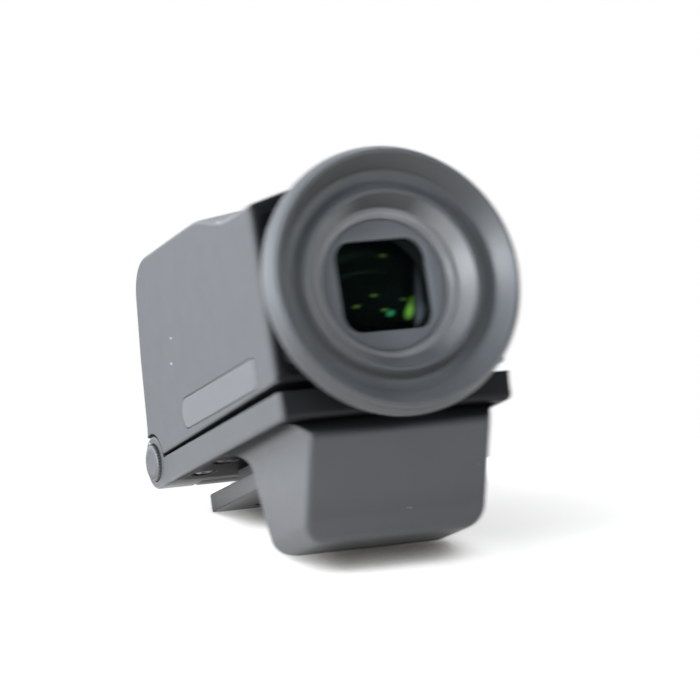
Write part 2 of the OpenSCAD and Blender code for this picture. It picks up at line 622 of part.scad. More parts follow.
base_arm();
arm_cover();
arm_cover_screws();
foot_pedestal();
shoe_foot();
foot_screws();
box_shell();
box_front_cover();
box_cover_screws();
plug_shell();
plug_tongue();
plug_contacts();
plug_board();
arm_flex();
hinge_shaft();
hinge_caps();
wave_washers();
head_housing();
rear_cover();
rear_cover_screws();
side_inlays();
lens_tube();
tube_screws();
display_frame();
display_panel();
backlight();
display_board();
board_chips();
board_screws();
head_flex();
hinge_bushes();
dioptre_ring();
ring_clip();
eyecup();
lens_cell();
eyepiece_mask();
window_glass();
eye_lens();
second_lens();
third_lens();
lens_spacers();
lens_retainer();
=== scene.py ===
"""Looks of a clip-on tilting electronic viewfinder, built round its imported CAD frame.

Row frame: origin at the centre of the shoe foot's underside, +Z up, +Y from the eye towards the hinge,
+X to the viewer's right. Lengths in this script are in millimetres until a mesh is made.
"""

import json
import math

import bmesh
import bpy
from mathutils import Matrix, Vector


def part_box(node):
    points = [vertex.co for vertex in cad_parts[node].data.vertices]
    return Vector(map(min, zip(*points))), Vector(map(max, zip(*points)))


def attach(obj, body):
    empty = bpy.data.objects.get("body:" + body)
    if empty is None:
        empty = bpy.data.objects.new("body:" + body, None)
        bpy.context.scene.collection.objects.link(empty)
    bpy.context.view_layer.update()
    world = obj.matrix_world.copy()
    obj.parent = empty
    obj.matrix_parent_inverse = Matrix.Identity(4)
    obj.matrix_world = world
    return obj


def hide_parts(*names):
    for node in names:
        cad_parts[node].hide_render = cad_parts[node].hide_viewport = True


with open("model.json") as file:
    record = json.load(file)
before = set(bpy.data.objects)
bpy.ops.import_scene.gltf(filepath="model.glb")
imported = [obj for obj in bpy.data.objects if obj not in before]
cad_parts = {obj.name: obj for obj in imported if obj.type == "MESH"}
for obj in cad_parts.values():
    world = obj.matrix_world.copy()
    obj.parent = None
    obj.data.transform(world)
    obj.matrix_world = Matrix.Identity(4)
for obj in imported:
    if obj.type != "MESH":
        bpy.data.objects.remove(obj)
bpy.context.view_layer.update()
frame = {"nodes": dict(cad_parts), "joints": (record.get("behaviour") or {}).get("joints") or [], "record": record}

MM = 0.001
JOINTS = {j["name"]: j for j in frame["joints"]}
FINISH = {m["slot"]: m for m in frame["record"]["materials"]}
SLOT_OF = {s["node"]: s["material_slot"] for s in frame["record"]["subparts"]}
BODY_OF = {n: b for b, names in frame["record"]["behaviour"]["bodies"].items() for n in names}


# ---------- sizes read from the frame ----------


def box_mm(node):
    lo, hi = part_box(node)
    return lo / MM, hi / MM


hinge = Vector(JOINTS["head_tilt"]["pos_m"]) / MM
eye = Vector(JOINTS["dioptre_turn"]["pos_m"]) / MM
arm_lo, arm_hi = box_mm("base_arm")
head_lo, head_hi = box_mm("head_housing")
foot_lo, foot_hi = box_mm("shoe_foot")
cup_hi = box_mm("eyecup")[1]
shell_lo, shell_hi = box_mm("box_shell")

HEAD_REAR = head_lo.y
HEAD_TOP = head_hi.z
HALF_HEAD = head_hi.x
HALF_ARM = arm_hi.x
HINGE_R = hinge.z - arm_lo.z
HINGE_CLEAR = HINGE_R + 0.25
ARM_THICK = 3.0
ARM_TOP = arm_lo.z + ARM_THICK
WALL = 1.2
HEAD_LOW_REAR = ARM_TOP + 1.0
HEAD_LOW_FRONT = ARM_TOP + 0.32
HEAD_KNUCKLE = 8.2
ARM_KNUCKLE = 8.7
CAP_DEEP = 0.7
CAP_HOLE_R = 2.12
SHAFT_HOLE_R = 1.03
HEAD_SEAT_R = 1.05
SEAT_DEEP = 0.5
SMALL_HOLE_R = 0.53
FOOT_HOLE_R = 0.58
BUSH_HOLE_R = 1.83


# ---------- outlines ----------


def corner_arc(a, b, c, r, step=7.0):
    """Points of the arc of radius r that rounds corner b between a and c."""
    if r <= 0:
        return [b]
    u = (a - b).normalized()
    v = (c - b).normalized()
    half = math.acos(max(-1.0, min(1.0, u.dot(v)))) / 2
    centre = b + (u + v).normalized() * (r / math.sin(half))
    p = b + u * (r / math.tan(half))
    q = b + v * (r / math.tan(half))
    start = math.atan2(p.y - centre.y, p.x - centre.x)
    turn = math.atan2(q.y - centre.y, q.x - centre.x) - start
    turn = (turn + math.pi) % (2 * math.pi) - math.pi
    n = max(2, math.ceil(abs(math.degrees(turn)) / step))
    return arc(centre, r, math.degrees(start), math.degrees(start + turn), n)


def arc(centre, r, a, b, n):
    points = []
    for i in range(n + 1):
        t = math.radians(a + (b - a) * i / n)
        points.append(Vector(centre) + Vector((math.cos(t), math.sin(t))) * r)
    return points


def rounded(corners, step=7.0):
    """A closed outline from corners (u, v, rounding radius)."""
    n = len(corners)
    xy = [Vector(c[:2]) for c in corners]
    points = []
    for i in range(n):
        points += corner_arc(xy[i - 1], xy[i], xy[(i + 1) % n], corners[i][2], step)
    return points


def rectangle(half, low, high, r, step=7.0):
    corners = [(-half, low, r), (half, low, r), (half, high, r), (-half, high, r)]
    return rounded(corners, step)


def fine(points, longest):
    """The same closed outline with its long edges split."""
    out = []
    for a, b in zip(points, points[1:] + points[:1]):
        parts = max(1, math.ceil((b - a).length / longest))
        out += [a.lerp(b, i / parts) for i in range(parts)]
    return out


def anticlockwise(points):
    area = sum(a.x * b.y - b.x * a.y for a, b in zip(points, points[1:] + points[:1]))
    return points if area > 0 else points[::-1]


def inward(points):
    """How far each point moves for an inset of 1."""
    moves = []
    n = len(points)
    for i in range(n):
        e = (points[i] - points[i - 1]).normalized()
        f = (points[(i + 1) % n] - points[i]).normalized()
        m = Vector((-e.y, e.x))
        k = Vector((-f.y, f.x))
        moves.append((m + k) / max(0.3, 1 + m.dot(k)))
    return moves


def smooth_list(values, passes):
    n = len(values)
    for _ in range(passes):
        values = [(values[i - 1] + values[i] + values[(i + 1) % n]) / 3 for i in range(n)]
    return values


# ---------- meshes ----------


def mesh_object(name, verts, faces):
    mesh = bpy.data.meshes.new(name)
    mesh.from_pydata([Vector(v) * MM for v in verts], [], faces)
    bm = bmesh.new()
    bm.from_mesh(mesh)
    bmesh.ops.remove_doubles(bm, verts=bm.verts, dist=1e-8)
    bmesh.ops.recalc_face_normals(bm, faces=bm.faces)
    bm.to_mesh(mesh)
    bm.free()
    obj = bpy.data.objects.new(name, mesh)
    bpy.context.scene.collection.objects.link(obj)
    return obj


def stack(name, rings, closed=False):
    """A skin over rings of equally many points; open stacks get a flat cap at each end."""
    n = len(rings[0])
    verts = [p for ring in rings for p in ring]
    faces = []
    last = len(rings) if closed else len(rings) - 1
    for j in range(last):
        a = j * n
        b = ((j + 1) % len(rings)) * n
        for i in range(n):
            k = (i + 1) % n
            faces.append((a + i, a + k, b + k, b + i))
    if not closed:
        faces.append(tuple(range(n)))
        faces.append(tuple(range((len(rings) - 1) * n, len(rings) * n)))
    return mesh_object(name, verts, faces)


PLACE = {
    "x": lambda p, d: Vector((d, p.x, p.y)),
    "y": lambda p, d: Vector((p.x, d, p.y)),
    "z": lambda p, d: Vector((p.x, p.y, d)),
}


def prism(name, axis, points, low, high):
    place = PLACE[axis]
    return stack(name, [[place(p, low) for p in points], [place(p, high) for p in points]])


def slab(name, axis, points, edges, low, high, steps=6, stations=()):
    """A prism whose two end faces meet its sides in rounded edges; edges holds each point's radius."""
    points = list(points)
    place = PLACE[axis]
    moves = inward(points)
    turns = [math.pi / 2 * i / steps for i in range(steps + 1)]

    def edge_ring(t, end, sign):
        return [place(p + m * r * (1 - math.sin(t)), end + sign * r * (1 - math.cos(t)))
                for p, m, r in zip(points, moves, edges)]

    rings = [edge_ring(t, low, 1) for t in turns]
    rings += [[place(p, d) for p in points] for d in stations]
    rings += [edge_ring(t, high, -1) for t in reversed(turns)]
    return stack(name, rings)


def even_slab(name, axis, points, r, low, high, steps=4):
    points = anticlockwise(points)
    return slab(name, axis, points, [r] * len(points), low, high, steps)


def rod(name, axis, centre, r, low, high, segments=48):
    return prism(name, axis, arc(centre, r, 0, 360 - 360 / segments, segments - 1), low, high)


def block(name, lo, hi):
    corners = [Vector((lo[0], lo[1])), Vector((hi[0], lo[1])), Vector((hi[0], hi[1])), Vector((lo[0], hi[1]))]
    return prism(name, "z", corners, lo[2], hi[2])


def turned(name, profile, segments=192, wobble=None):
    """A closed (radius, y) profile turned about the optical axis; wobble adds to the radius of a point."""
    rings = []
    for i in range(segments):
        t = 2 * math.pi * i / segments
        ring = []
        for r, y in profile:
            grown = r + (wobble(r, y, i) if wobble else 0)
            ring.append(Vector((grown * math.cos(t), y, eye.z + grown * math.sin(t))))
        rings.append(ring)
    return stack(name, rings, closed=True)


def boolean(target, tools, operation="DIFFERENCE"):
    for tool in tools:
        mod = target.modifiers.new("bool", "BOOLEAN")
        mod.object = tool
        mod.operation = operation
        mod.solver = "EXACT"
    depsgraph = bpy.context.evaluated_depsgraph_get()
    result = bpy.data.meshes.new_from_object(target.evaluated_get(depsgraph))
    target.modifiers.clear()
    target.data = result
    for tool in tools:
        bpy.data.objects.remove(tool)
    return target


SHARP_ANGLE = 32


def shade(obj, angle):
    obj.data.shade_smooth()
    obj.data.set_sharp_from_angle(angle=math.radians(angle))
    mod = obj.modifiers.new("normals", "WEIGHTED_NORMAL")
    mod.keep_sharp = True
    mod.weight = 80
    return obj


MATERIALS = {}


def dress(obj, node, angle=SHARP_ANGLE, material=None):
    """Shades a piece, gives it its node's finish and lets it stand for that node."""
    obj.name = node + "_look"
    obj.data.name = obj.name
    shade(obj, angle)
    obj.data.materials.clear()
    obj.data.materials.append(material or MATERIALS[SLOT_OF[node]])
    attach(obj, BODY_OF[node])
    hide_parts(node)
    return obj


def join(name, objects):
    bm = bmesh.new()
    for obj in objects:
        bm.from_mesh(obj.data)
        bpy.data.objects.remove(obj)
    mesh = bpy.data.meshes.new(name)
    bm.to_mesh(mesh)
    bm.free()
    joined = bpy.data.objects.new(name, mesh)
    bpy.context.scene.collection.objects.link(joined)
    return joined


def solids_of(node):
    """Boxes (low, high, in millimetres) of the separate solids of a CAD node."""
    bm = bmesh.new()
    bm.from_mesh(frame["nodes"][node].data)
    bmesh.ops.remove_doubles(bm, verts=bm.verts, dist=1e-7)
    left = set(bm.verts)
    boxes = []
    while left:
        group = {left.pop()}
        edge = list(group)
        while edge:
            v = edge.pop()
            for e in v.link_edges:
                w = e.other_vert(v)
                if w in left:
                    left.discard(w)
                    group.add(w)
                    edge.append(w)
        lo = Vector([min(v.co[i] for v in group) for i in range(3)]) / MM
        hi = Vector([max(v.co[i] for v in group) for i in range(3)]) / MM
        boxes.append((lo, hi))
    bm.free()
    return sorted(boxes, key=lambda b: tuple(round(c, 3) for c in b[0]))


def flat_centre(lo, hi, axis):
    """Centre of a box, seen along an axis."""
    return [(lo[i] + hi[i]) / 2 for i in range(3) if i != "xyz".index(axis)]


def screw_seats(node, axis, cuts):
    """Round tools (radius, low, high, segments) on the axis of each screw of a node."""
    tools = []
    for lo, hi in solids_of(node):
        for r, low, high, segments in cuts:
            tools.append(rod("seat", axis, flat_centre(lo, hi, axis), r, low, high, segments))
    return tools


# ---------- head ----------

SHOULDER_LOW = 2.25
SHOULDER_SLOPE = math.tan(math.radians(16))
SHOULDER_FLAT_Y = -17.0
SHOULDER_RISE = 2.4 / 7.8
SHOULDER_BLEND = 0.4


def soft_positive(d, k):
    return (d + math.sqrt(d * d + k * k)) / 2


def shoulder_drop(x, y):
    """How far the sloped rear shoulders lie below the head's flat top."""
    rise = SHOULDER_RISE * soft_positive(y - SHOULDER_FLAT_Y, 1.6)
    depth = SHOULDER_LOW - (HALF_HEAD - abs(x)) * SHOULDER_SLOPE - rise
    return soft_positive(depth, SHOULDER_BLEND)


def ease(t):
    t = max(0.0, min(1.0, t))
    return t * t * (3 - 2 * t)


def head_outline():
    corners = [
        (hinge.y - HINGE_CLEAR, HEAD_LOW_FRONT, 0), (HEAD_REAR, HEAD_LOW_REAR, 0.6),
        (HEAD_REAR, HEAD_TOP, 0.55), (11.2, HEAD_TOP, 4.6), (13.5, 18.4, 14), (14.75, 10.2, 0)]
    round_hinge = arc((hinge.y, hinge.z), HINGE_CLEAR, 68, 170, 18)
    return anticlockwise(fine(rounded(corners, 5) + round_hinge, 0.7))


def head_edge(p):
    """Radius of the head's side edges at an outline point."""
    if (p - Vector((hinge.y, hinge.z))).length < HINGE_CLEAR + 0.15:
        return 0.08
    if p.x < HEAD_REAR + 0.02:
        return 0.8
    if p.x < HEAD_REAR + 0.6:
        return 0.5
    if p.y > HEAD_TOP - 0.3:
        return 0.4
    if p.y < HEAD_LOW_REAR + 0.2:
        return 0.22
    return 0.4


def head_cavity():
    rear = box_mm("rear_cover")[1].y
    top = HEAD_TOP - WALL
    corners = [
        (9.3, HEAD_LOW_FRONT + 0.85, 0.2), (rear, HEAD_LOW_REAR + 0.8, 0), (rear, HEAD_TOP - 3.6, 0),
        (-17, HEAD_TOP - 3.4, 2), (-8.5, top, 2), (10.0, top, 3.6), (12.2, 18.4, 8), (12.8, 11.6, 0.3),
        (10.6, 10.1, 0.5)]
    inner = prism("cavity", "x", rounded(corners, 10), WALL - HALF_HEAD, HALF_HEAD - WALL)
    posts = []
    for node, plate in (("rear_cover_screws", "rear_cover"), ("tube_screws", "lens_tube"),
                        ("board_screws", "display_board")):
        start = box_mm(plate)[1].y
        for lo, hi in solids_of(node):
            posts.append(rod("post", "y", flat_centre(lo, hi, "y"), 1.3, start, hi.y + 0.6, 24))
    return boolean(inner, posts)


def inlay_outline(grow):
    lo, hi = box_mm("side_inlays")
    front = min(1.5, (hi.z - lo.z) / 2 - 0.05) + grow
    return anticlockwise(rounded([
        (lo.y - grow, lo.z - grow, 0.6), (hi.y + grow, lo.z - grow, front),
        (hi.y + grow, hi.z + grow, front), (lo.y - grow, hi.z + grow, 0.6)], 8))


def cable_slot():
    slot_turn = math.radians(128)
    slot = block("slot", (-4.4, 1.2, -0.45), (4.4, 5.2, 0.45))
    place = Matrix.Translation(hinge * MM) @ Matrix.Rotation(slot_turn, 4, "X")
    slot.data.transform(place)
    return slot


def build_head():
    outline = head_outline()
    edges = smooth_list([head_edge(p) for p in outline], 3)
    stations = [-11.6 + 0.4 * i for i in range(59)]
    head = slab("head", "x", outline, edges, -HALF_HEAD, HALF_HEAD, 7, stations)
    for v in head.data.vertices:
        x, y, z = v.co / MM
        share = ease((z - 21.0) / (HEAD_TOP - 1.2 - 21.0))
        v.co.z = (z - shoulder_drop(x, y) * share) * MM
    knuckle = slab("knuckle", "x", arc((hinge.y, hinge.z), HINGE_R, 0, 354, 59), [0.25] * 60,
                   -HEAD_KNUCKLE, HEAD_KNUCKLE, 4)
    web = prism("web", "x", arc((hinge.y, hinge.z), HINGE_R - 0.5, 60, 150, 18)
                + arc((hinge.y, hinge.z), HINGE_CLEAR + 0.3, 150, 75, 18), -HEAD_KNUCKLE, HEAD_KNUCKLE)
    boolean(head, [knuckle, web], "UNION")
    cover_lo, cover_hi = box_mm("rear_cover")
    recess = rectangle(cover_hi.x + 0.06, cover_lo.z - 0.06, cover_hi.z + 0.06, 1.2)
    tools = [
        head_cavity(),
        prism("recess", "y", recess, HEAD_REAR - 1, cover_hi.y + 0.02),
        rod("bush_hole", "x", (hinge.y, hinge.z), BUSH_HOLE_R, -HEAD_KNUCKLE - 1, HEAD_KNUCKLE + 1),
        cable_slot()]
    inlay_in = box_mm("side_inlays")[1].x - 0.54
    for side in (-1, 1):
        ends = sorted((side * inlay_in, side * (HALF_HEAD + 1)))
        tools.append(prism("pocket", "x", inlay_outline(0.1), ends[0], ends[1]))
    boolean(head, tools)
    dress(head, "head_housing")


def build_inlays():
    lo, hi = box_mm("side_inlays")
    thick = 0.5
    left = even_slab("left", "x", inlay_outline(0), 0.1, lo.x, lo.x + thick, 3)
    right = even_slab("right", "x", inlay_outline(0), 0.1, hi.x - thick, hi.x, 3)
    dress(join("inlays", [left, right]), "side_inlays")


def facing_plate(name, outer, inner, low, high, r):
    """A plate across Y with a hole: rounded front edges, square back; outer and inner are equally long."""
    place = PLACE["y"]
    rings = []
    for outline, side, turns in ((inner, -1, (90, 60, 30, 0)), (outer, 1, (0, 30, 60, 90))):
        moves = inward(outline)
        for t in turns:
            shift = side * r * (1 - math.sin(math.radians(t)))
            depth = low + r * (1 - math.cos(math.radians(t)))
            rings.append([place(p + m * shift, depth) for p, m in zip(outline, moves)])
    rings.append([place(p, high) for p in outer])
    rings.append([place(p, high) for p in inner])
    return stack(name, rings, closed=True)


def by_angle(points, centre, n=192):
    """A closed outline cut by n rays from its centre."""
    out = []
    for k in range(n):
        t = 2 * math.pi * k / n
        d = Vector((math.cos(t), math.sin(t)))
        best = None
        for a, b in zip(points, points[1:] + points[:1]):
            e = b - a
            det = d.x * -e.y + e.x * d.y
            if abs(det) < 1e-12:
                continue
            w = a - centre
            along = (w.x * -e.y + e.x * w.y) / det
            share = (d.x * w.y - d.y * w.x) / det
            if along > 0 and -1e-9 <= share <= 1 + 1e-9:
                best = along if best is None else max(best, along)
        out.append(centre + d * best)
    return out


def build_rear_cover():
    lo, hi = box_mm("rear_cover")
    centre = Vector((0, eye.z))
    outer = by_angle(rectangle(hi.x, lo.z, hi.z, 1.15, 4), centre)
    inner = [centre + (p - centre).normalized() * 7.55 for p in outer]
    cover = facing_plate("cover", outer, inner, lo.y, hi.y, 0.12)
    cuts = ((HEAD_SEAT_R, lo.y - 1, lo.y + SEAT_DEEP, 32), (SMALL_HOLE_R, lo.y - 1, hi.y + 1, 16))
    boolean(cover, screw_seats("rear_cover_screws", "y", cuts))
    dress(cover, "rear_cover")


# ---------- screws ----------

SMALL_SCREW = (0.95, 0.4, 0.5)
FOOT_SCREW = (1.1, 0.7, 0.55)


def pan_screw(axis, centre, face, sign, head_r, head_t, shank_r, length):
    """A pan-head screw with a hexagon socket; its head's outer face lies at face and it runs along sign."""
    place = PLACE[axis]
    dome = 0.25 * head_t
    sides = 48
    rings = []
    for r, d in ((head_r * 0.72, 0), (head_r * 0.88, dome * 0.35), (head_r * 0.97, dome),
                 (head_r, dome * 1.8), (head_r, head_t), (shank_r, head_t), (shank_r, length),
                 (shank_r * 0.6, length + shank_r * 0.4)):
        rings.append([place(p, face + sign * d) for p in arc(centre, r, 0, 360 - 360 / sides, sides - 1)])
    screw = stack("screw", rings)
    ends = sorted((face - sign * 1.0, face + sign * head_t * 0.62))
    socket = prism("socket", axis, arc(centre, head_r * 0.46, 0, 300, 5), ends[0], ends[1])
    return boolean(screw, [socket])


def build_screws(node, axis, head_r, head_t, shank_r):
    along = "xyz".index(axis)
    made = []
    for lo, hi in solids_of(node):
        length = hi[along] - lo[along] - shank_r * 0.4
        centre = flat_centre(lo, hi, axis)
        made.append(pan_screw(axis, centre, lo[along], 1, head_r, head_t, shank_r, length))
    dress(join("screws", made), node, 25)


def build_box_cover_screws(front):
    """The two screws that stand square to the box's leaning front face."""
    screws = join("screws", [pan_screw("z", (x, 0), -0.05, -1, *SMALL_SCREW, 3.3) for x in (-7, 7)])
    screws.data.transform(front)
    dress(screws, "box_cover_screws", 25)


# ---------- base ----------


def arm_outline():
    at_top = math.degrees(math.asin((ARM_TOP - hinge.z) / HINGE_R))
    points = arc((hinge.y, hinge.z), HINGE_R, -90, 180 - at_top, 54)
    rear_top = corner_arc(points[-1], Vector((arm_lo.y, ARM_TOP)), Vector((arm_lo.y, arm_lo.z)), 0.25)
    rear_low = corner_arc(Vector((arm_lo.y, ARM_TOP)), Vector((arm_lo.y, arm_lo.z)),
                          Vector((hinge.y, arm_lo.z)), 0.7)
    return anticlockwise(fine(points + rear_top + rear_low, 0.6))


def arm_edge(p):
    if p.x > hinge.y - HINGE_R:
        return 0.3
    if p.y > ARM_TOP - 0.3:
        return 0.12
    return 0.55


def build_arm():
    outline = arm_outline()
    edges = smooth_list([arm_edge(p) for p in outline], 2)
    arm = slab("arm", "x", outline, edges, -HALF_ARM, HALF_ARM, 6, [-6, 0, 6])
    cover_lo, cover_hi = box_mm("arm_cover")
    flex_top = box_mm("arm_flex")[1].z
    recess = rectangle(cover_hi.x + 0.03, cover_lo.y - 0.03, cover_hi.y + 0.03, 1)
    tools = [
        block("gap", (-ARM_KNUCKLE, hinge.y - HINGE_CLEAR, 0), (ARM_KNUCKLE, hinge.y + 5, 12)),
        prism("recess", "z", recess, arm_lo.z - 1, cover_hi.z + 0.02),
        block("channel", (-7, arm_lo.y + 4, arm_lo.z - 1), (7, cover_hi.y - 0.3, ARM_TOP - 1)),
        block("slit", (-3.8, 0, flex_top - 0.3), (3.8, hinge.y, flex_top + 0.1)),
        rod("shaft_hole", "x", (hinge.y, hinge.z), SHAFT_HOLE_R, -HALF_ARM - 1, HALF_ARM + 1)]
    for side in (-1, 1):
        ends = sorted((side * (HALF_ARM - CAP_DEEP), side * (HALF_ARM + 1)))
        tools.append(rod("cap_hole", "x", (hinge.y, hinge.z), CAP_HOLE_R, ends[0], ends[1], 72))
    boolean(arm, tools)
    dress(arm, "base_arm")


def build_caps():
    """Round caps over the ends of the hinge shaft, standing out of the arm, with a knurled edge."""
    lo, hi = box_mm("hinge_caps")
    thick = hi.x - HALF_ARM + CAP_DEEP - 0.04
    radius = (hi.y - lo.y) / 2
    ridges = 36
    per_ridge = 6
    caps = []
    for side in (-1, 1):
        rings = []
        for inset, depth, tooth in ((1.1, 0.03, 0), (0.9, 0.0, 0), (0.24, 0.0, 0), (0.16, 0.03, 0.3),
                                    (0.06, 0.1, 0.8), (0.0, 0.2, 1), (0.0, thick, 1)):
            ring = []
            for i in range(ridges * per_ridge):
                t = 2 * math.pi * i / (ridges * per_ridge)
                cut = 0.055 * tooth * (1 - math.cos(ridges * t))
                at = Vector((hinge.y, hinge.z)) + Vector((math.cos(t), math.sin(t))) * (radius - inset - cut)
                ring.append(PLACE["x"](at, side * (hi.x - depth)))
            rings.append(ring)
        caps.append(stack("cap", rings))
    dress(join("caps", caps), "hinge_caps", 50)


FRONT_LEAN = math.radians(15.5)
HOLLOW_R = 2.2
BOX_HALF = shell_hi.x - HOLLOW_R
BOX_LOW_R = 2.2
BOX_EDGE_R = 0.5
BOX_TOP = shell_hi.z
BOX_LOW = shell_lo.z
FRONT_HIGH = Vector((-7.75, BOX_TOP - HOLLOW_R * (1 - math.sin(FRONT_LEAN))))
FRONT_LOW = Vector((FRONT_HIGH.x - (FRONT_HIGH.y - BOX_LOW - 0.4) * math.tan(FRONT_LEAN), BOX_LOW + 0.4))


def box_outline():
    centre = FRONT_HIGH + Vector((math.cos(FRONT_LEAN), -math.sin(FRONT_LEAN))) * HOLLOW_R
    hollow = arc(centre, HOLLOW_R, 180 - math.degrees(FRONT_LEAN), 90, 12)
    body = rounded([
        (-8, BOX_TOP, 0), (-23.9, BOX_TOP, 0.6), (shell_lo.y - 0.06, 2.45, 0.9), (-19.9, BOX_LOW + 0.05, 1.2),
        (FRONT_LOW.x - 0.1, BOX_LOW, 1.9), (FRONT_HIGH.x - math.tan(FRONT_LEAN), FRONT_HIGH.y - 1, 0)], 4)
    return body + hollow


def box_span(outline, z):
    """Rear and front of the box at height z."""
    heights = [p.y for p in outline]
    z = max(min(heights) + 0.002, min(max(heights) - 0.002, z))
    ys = []
    for a, b in zip(outline, outline[1:] + outline[:1]):
        if (a.y - z) * (b.y - z) <= 0 and a.y != b.y:
            ys.append(a.x + (b.x - a.x) * (z - a.y) / (b.y - a.y))
    return min(ys), max(ys)


def box_half(z):
    """Half width of the box at height z: round bottom edges, and sides that flare out under the arm."""
    up = z - BOX_LOW
    if up < BOX_LOW_R:
        return BOX_HALF - BOX_LOW_R + math.sqrt(max(0, BOX_LOW_R ** 2 - (BOX_LOW_R - up) ** 2))
    over = z - (BOX_TOP - HOLLOW_R)
    if over > 0:
        return BOX_HALF + HOLLOW_R - math.sqrt(max(0, HOLLOW_R ** 2 - over ** 2))
    return BOX_HALF


def box_levels():
    low = [BOX_LOW + 0.002 + BOX_LOW_R * (1 - math.cos(math.radians(a))) for a in range(0, 91, 6)]
    middle = [BOX_LOW + BOX_LOW_R + 0.5 + 0.5 * i for i in range(13)]
    crease = [1.0 + 0.12 * i for i in range(22)]
    top = [BOX_TOP - 0.002 - HOLLOW_R * (1 - math.sin(math.radians(a))) for a in range(54, 91, 4)]
    levels = sorted(set(low + [z for z in middle if z < 0.95] + crease + [z for z in top if z > 3.55]))
    return [z for a, z in zip([-99] + levels, levels) if z - a > 0.0005]


def front_frame():
    """Frame on the box's front face: z points out of it, y runs up along it."""
    centre = (FRONT_LOW + FRONT_HIGH) / 2
    out = Vector((0, math.cos(FRONT_LEAN), -math.sin(FRONT_LEAN)))
    up = Vector((0, math.sin(FRONT_LEAN), math.cos(FRONT_LEAN)))
    right = up.cross(out)
    turn = Matrix((right, up, out)).transposed().to_4x4()
    return Matrix.Translation(Vector((0, centre.x, centre.y)) * MM) @ turn


def build_box():
    outline = box_outline()
    rings = []
    for z in box_levels():
        rear, front = box_span(outline, z)
        half = box_half(z)
        ring = rounded([(-half, rear, BOX_EDGE_R), (half, rear, BOX_EDGE_R), (half, front, 0.6),
                        (-half, front, 0.6)], 9)
        rings.append([PLACE["z"](p, z) for p in ring])
    shell = stack("shell", rings)
    inner = BOX_HALF - WALL
    cavity = rounded([
        (-12, arm_lo.z - WALL, 0.3), (-23.6, arm_lo.z - WALL, 0.3), (-24.6, 1.6, 0.5),
        (-19.2, BOX_LOW + 1.25, 0.8), (FRONT_LOW.x - 1.2, BOX_LOW + 1.3, 0.8),
        (FRONT_HIGH.x - 1.6, 1.2, 0.3)])
    front = front_frame()
    tools = [prism("cover_seat", "z", rectangle(8.3, -3.95, 3.05, 0.8), -1.2, 4),
             prism("cover_deep", "z", rectangle(5.8, -3.1, 2.2, 0.6), -3.2, 4)]
    for tool in tools:
        tool.data.transform(front)
    tools.insert(0, prism("cavity", "x", cavity, -inner, inner))
    tools.append(block("cable_way", (-5, -21, 1), (5, -13, 6)))
    boolean(shell, tools)
    dress(shell, "box_shell")
    build_box_cover_screws(front)


def build_foot():
    foot = even_slab("foot", "z", rectangle(foot_hi.x, foot_lo.y, foot_hi.y, 0.4), 0.16, foot_lo.z, foot_hi.z)
    boolean(foot, screw_seats("foot_screws", "z", ((1.18, -1, 0.85, 48), (FOOT_HOLE_R, -1, 3, 24))))
    dress(foot, "shoe_foot")


def build_arm_cover():
    lo, hi = box_mm("arm_cover")
    cover = even_slab("cover", "z", rectangle(hi.x, lo.y, hi.y, 1), 0.05, lo.z, hi.z, 2)
    cuts = ((1.4, lo.z - 1, lo.z + 0.15, 40), (HEAD_SEAT_R, lo.z - 1, lo.z + SEAT_DEEP, 32),
            (SMALL_HOLE_R, lo.z - 1, hi.z + 1, 16))
    tools = screw_seats("arm_cover_screws", "z", cuts)
    tools += screw_seats("foot_screws", "z", ((FOOT_HOLE_R, lo.z - 1, hi.z + 1, 16),))
    boolean(cover, tools)
    dress(cover, "arm_cover")


# ---------- eyepiece ----------


def build_eyecup():
    """Rubber cup: rim with a fine groove, conical lip, valley, raised inner ring and a neck."""
    rim = cup_hi.x
    ring_face = box_mm("dioptre_ring")[0].y
    back = ring_face + 0.65
    corners = [
        (8.15, back, 0.02), (8.15, ring_face - 0.05, 0), (7.85, ring_face - 0.05, 0.05),
        (7.85, ring_face - 0.35, 0.12), (9.05, HEAD_REAR - 4.15, 0.28), (9.4, HEAD_REAR - 4.2, 0.22),
        (10.35, HEAD_REAR - 3.2, 0.7), (11.45, HEAD_REAR - 3.4, 0.6),
        (12.95, HEAD_REAR - 5.38, 0.2), (13.3, HEAD_REAR - 5.4, 0.2), (13.52, HEAD_REAR - 4.9, 0.04),
        (13.42, HEAD_REAR - 4.78, 0.03), (13.62, HEAD_REAR - 4.66, 0.05), (rim, HEAD_REAR - 3.85, 0.3),
        (rim, HEAD_REAR - 3.3, 0.3), (13.5, HEAD_REAR - 2.8, 0.3), (11, HEAD_REAR - 2.1, 0.8),
        (10.2, HEAD_REAR - 0.9, 0.3), (8.95, HEAD_REAR - 0.9, 0.05), (8.95, back, 0.02)]
    cup = turned("cup", fine(rounded(corners, 9), 0.5), 256)
    dress(cup, "eyecup", 50)


def build_dioptre_ring():
    lo, hi = box_mm("dioptre_ring")
    face = lo.y
    step = face + 0.65
    back = HEAD_REAR - 0.15
    bore = 6.9
    sleeve = 7.5
    clip_lo, clip_hi = box_mm("ring_clip")
    corners = [
        (bore, face + 0.62, 0.3), (bore + 0.42, face, 0.15), (8.1, face, 0.06), (8.1, step, 0),
        (8.9, step, 0.05), (8.9, step + 0.75, 0), (9.34, step + 0.75, 0.08), (9.34, back, 0.08),
        (sleeve, back, 0), (sleeve, clip_lo.y - 0.05, 0),
        (sleeve - 0.3, clip_lo.y - 0.05, 0), (sleeve - 0.3, clip_hi.y + 0.05, 0),
        (sleeve, clip_hi.y + 0.05, 0), (sleeve, hi.y, 0.08), (bore, hi.y, 0.08)]

    def knurl(r, y, i):
        on_skirt = r > 9.2 and step + 0.8 < y < back - 0.02
        return 0.06 * (1 if i % 4 < 2 else -1) if on_skirt else 0

    ring = turned("ring", fine(rounded(corners, 15), 0.6), 576, knurl)
    dress(ring, "dioptre_ring", 38)


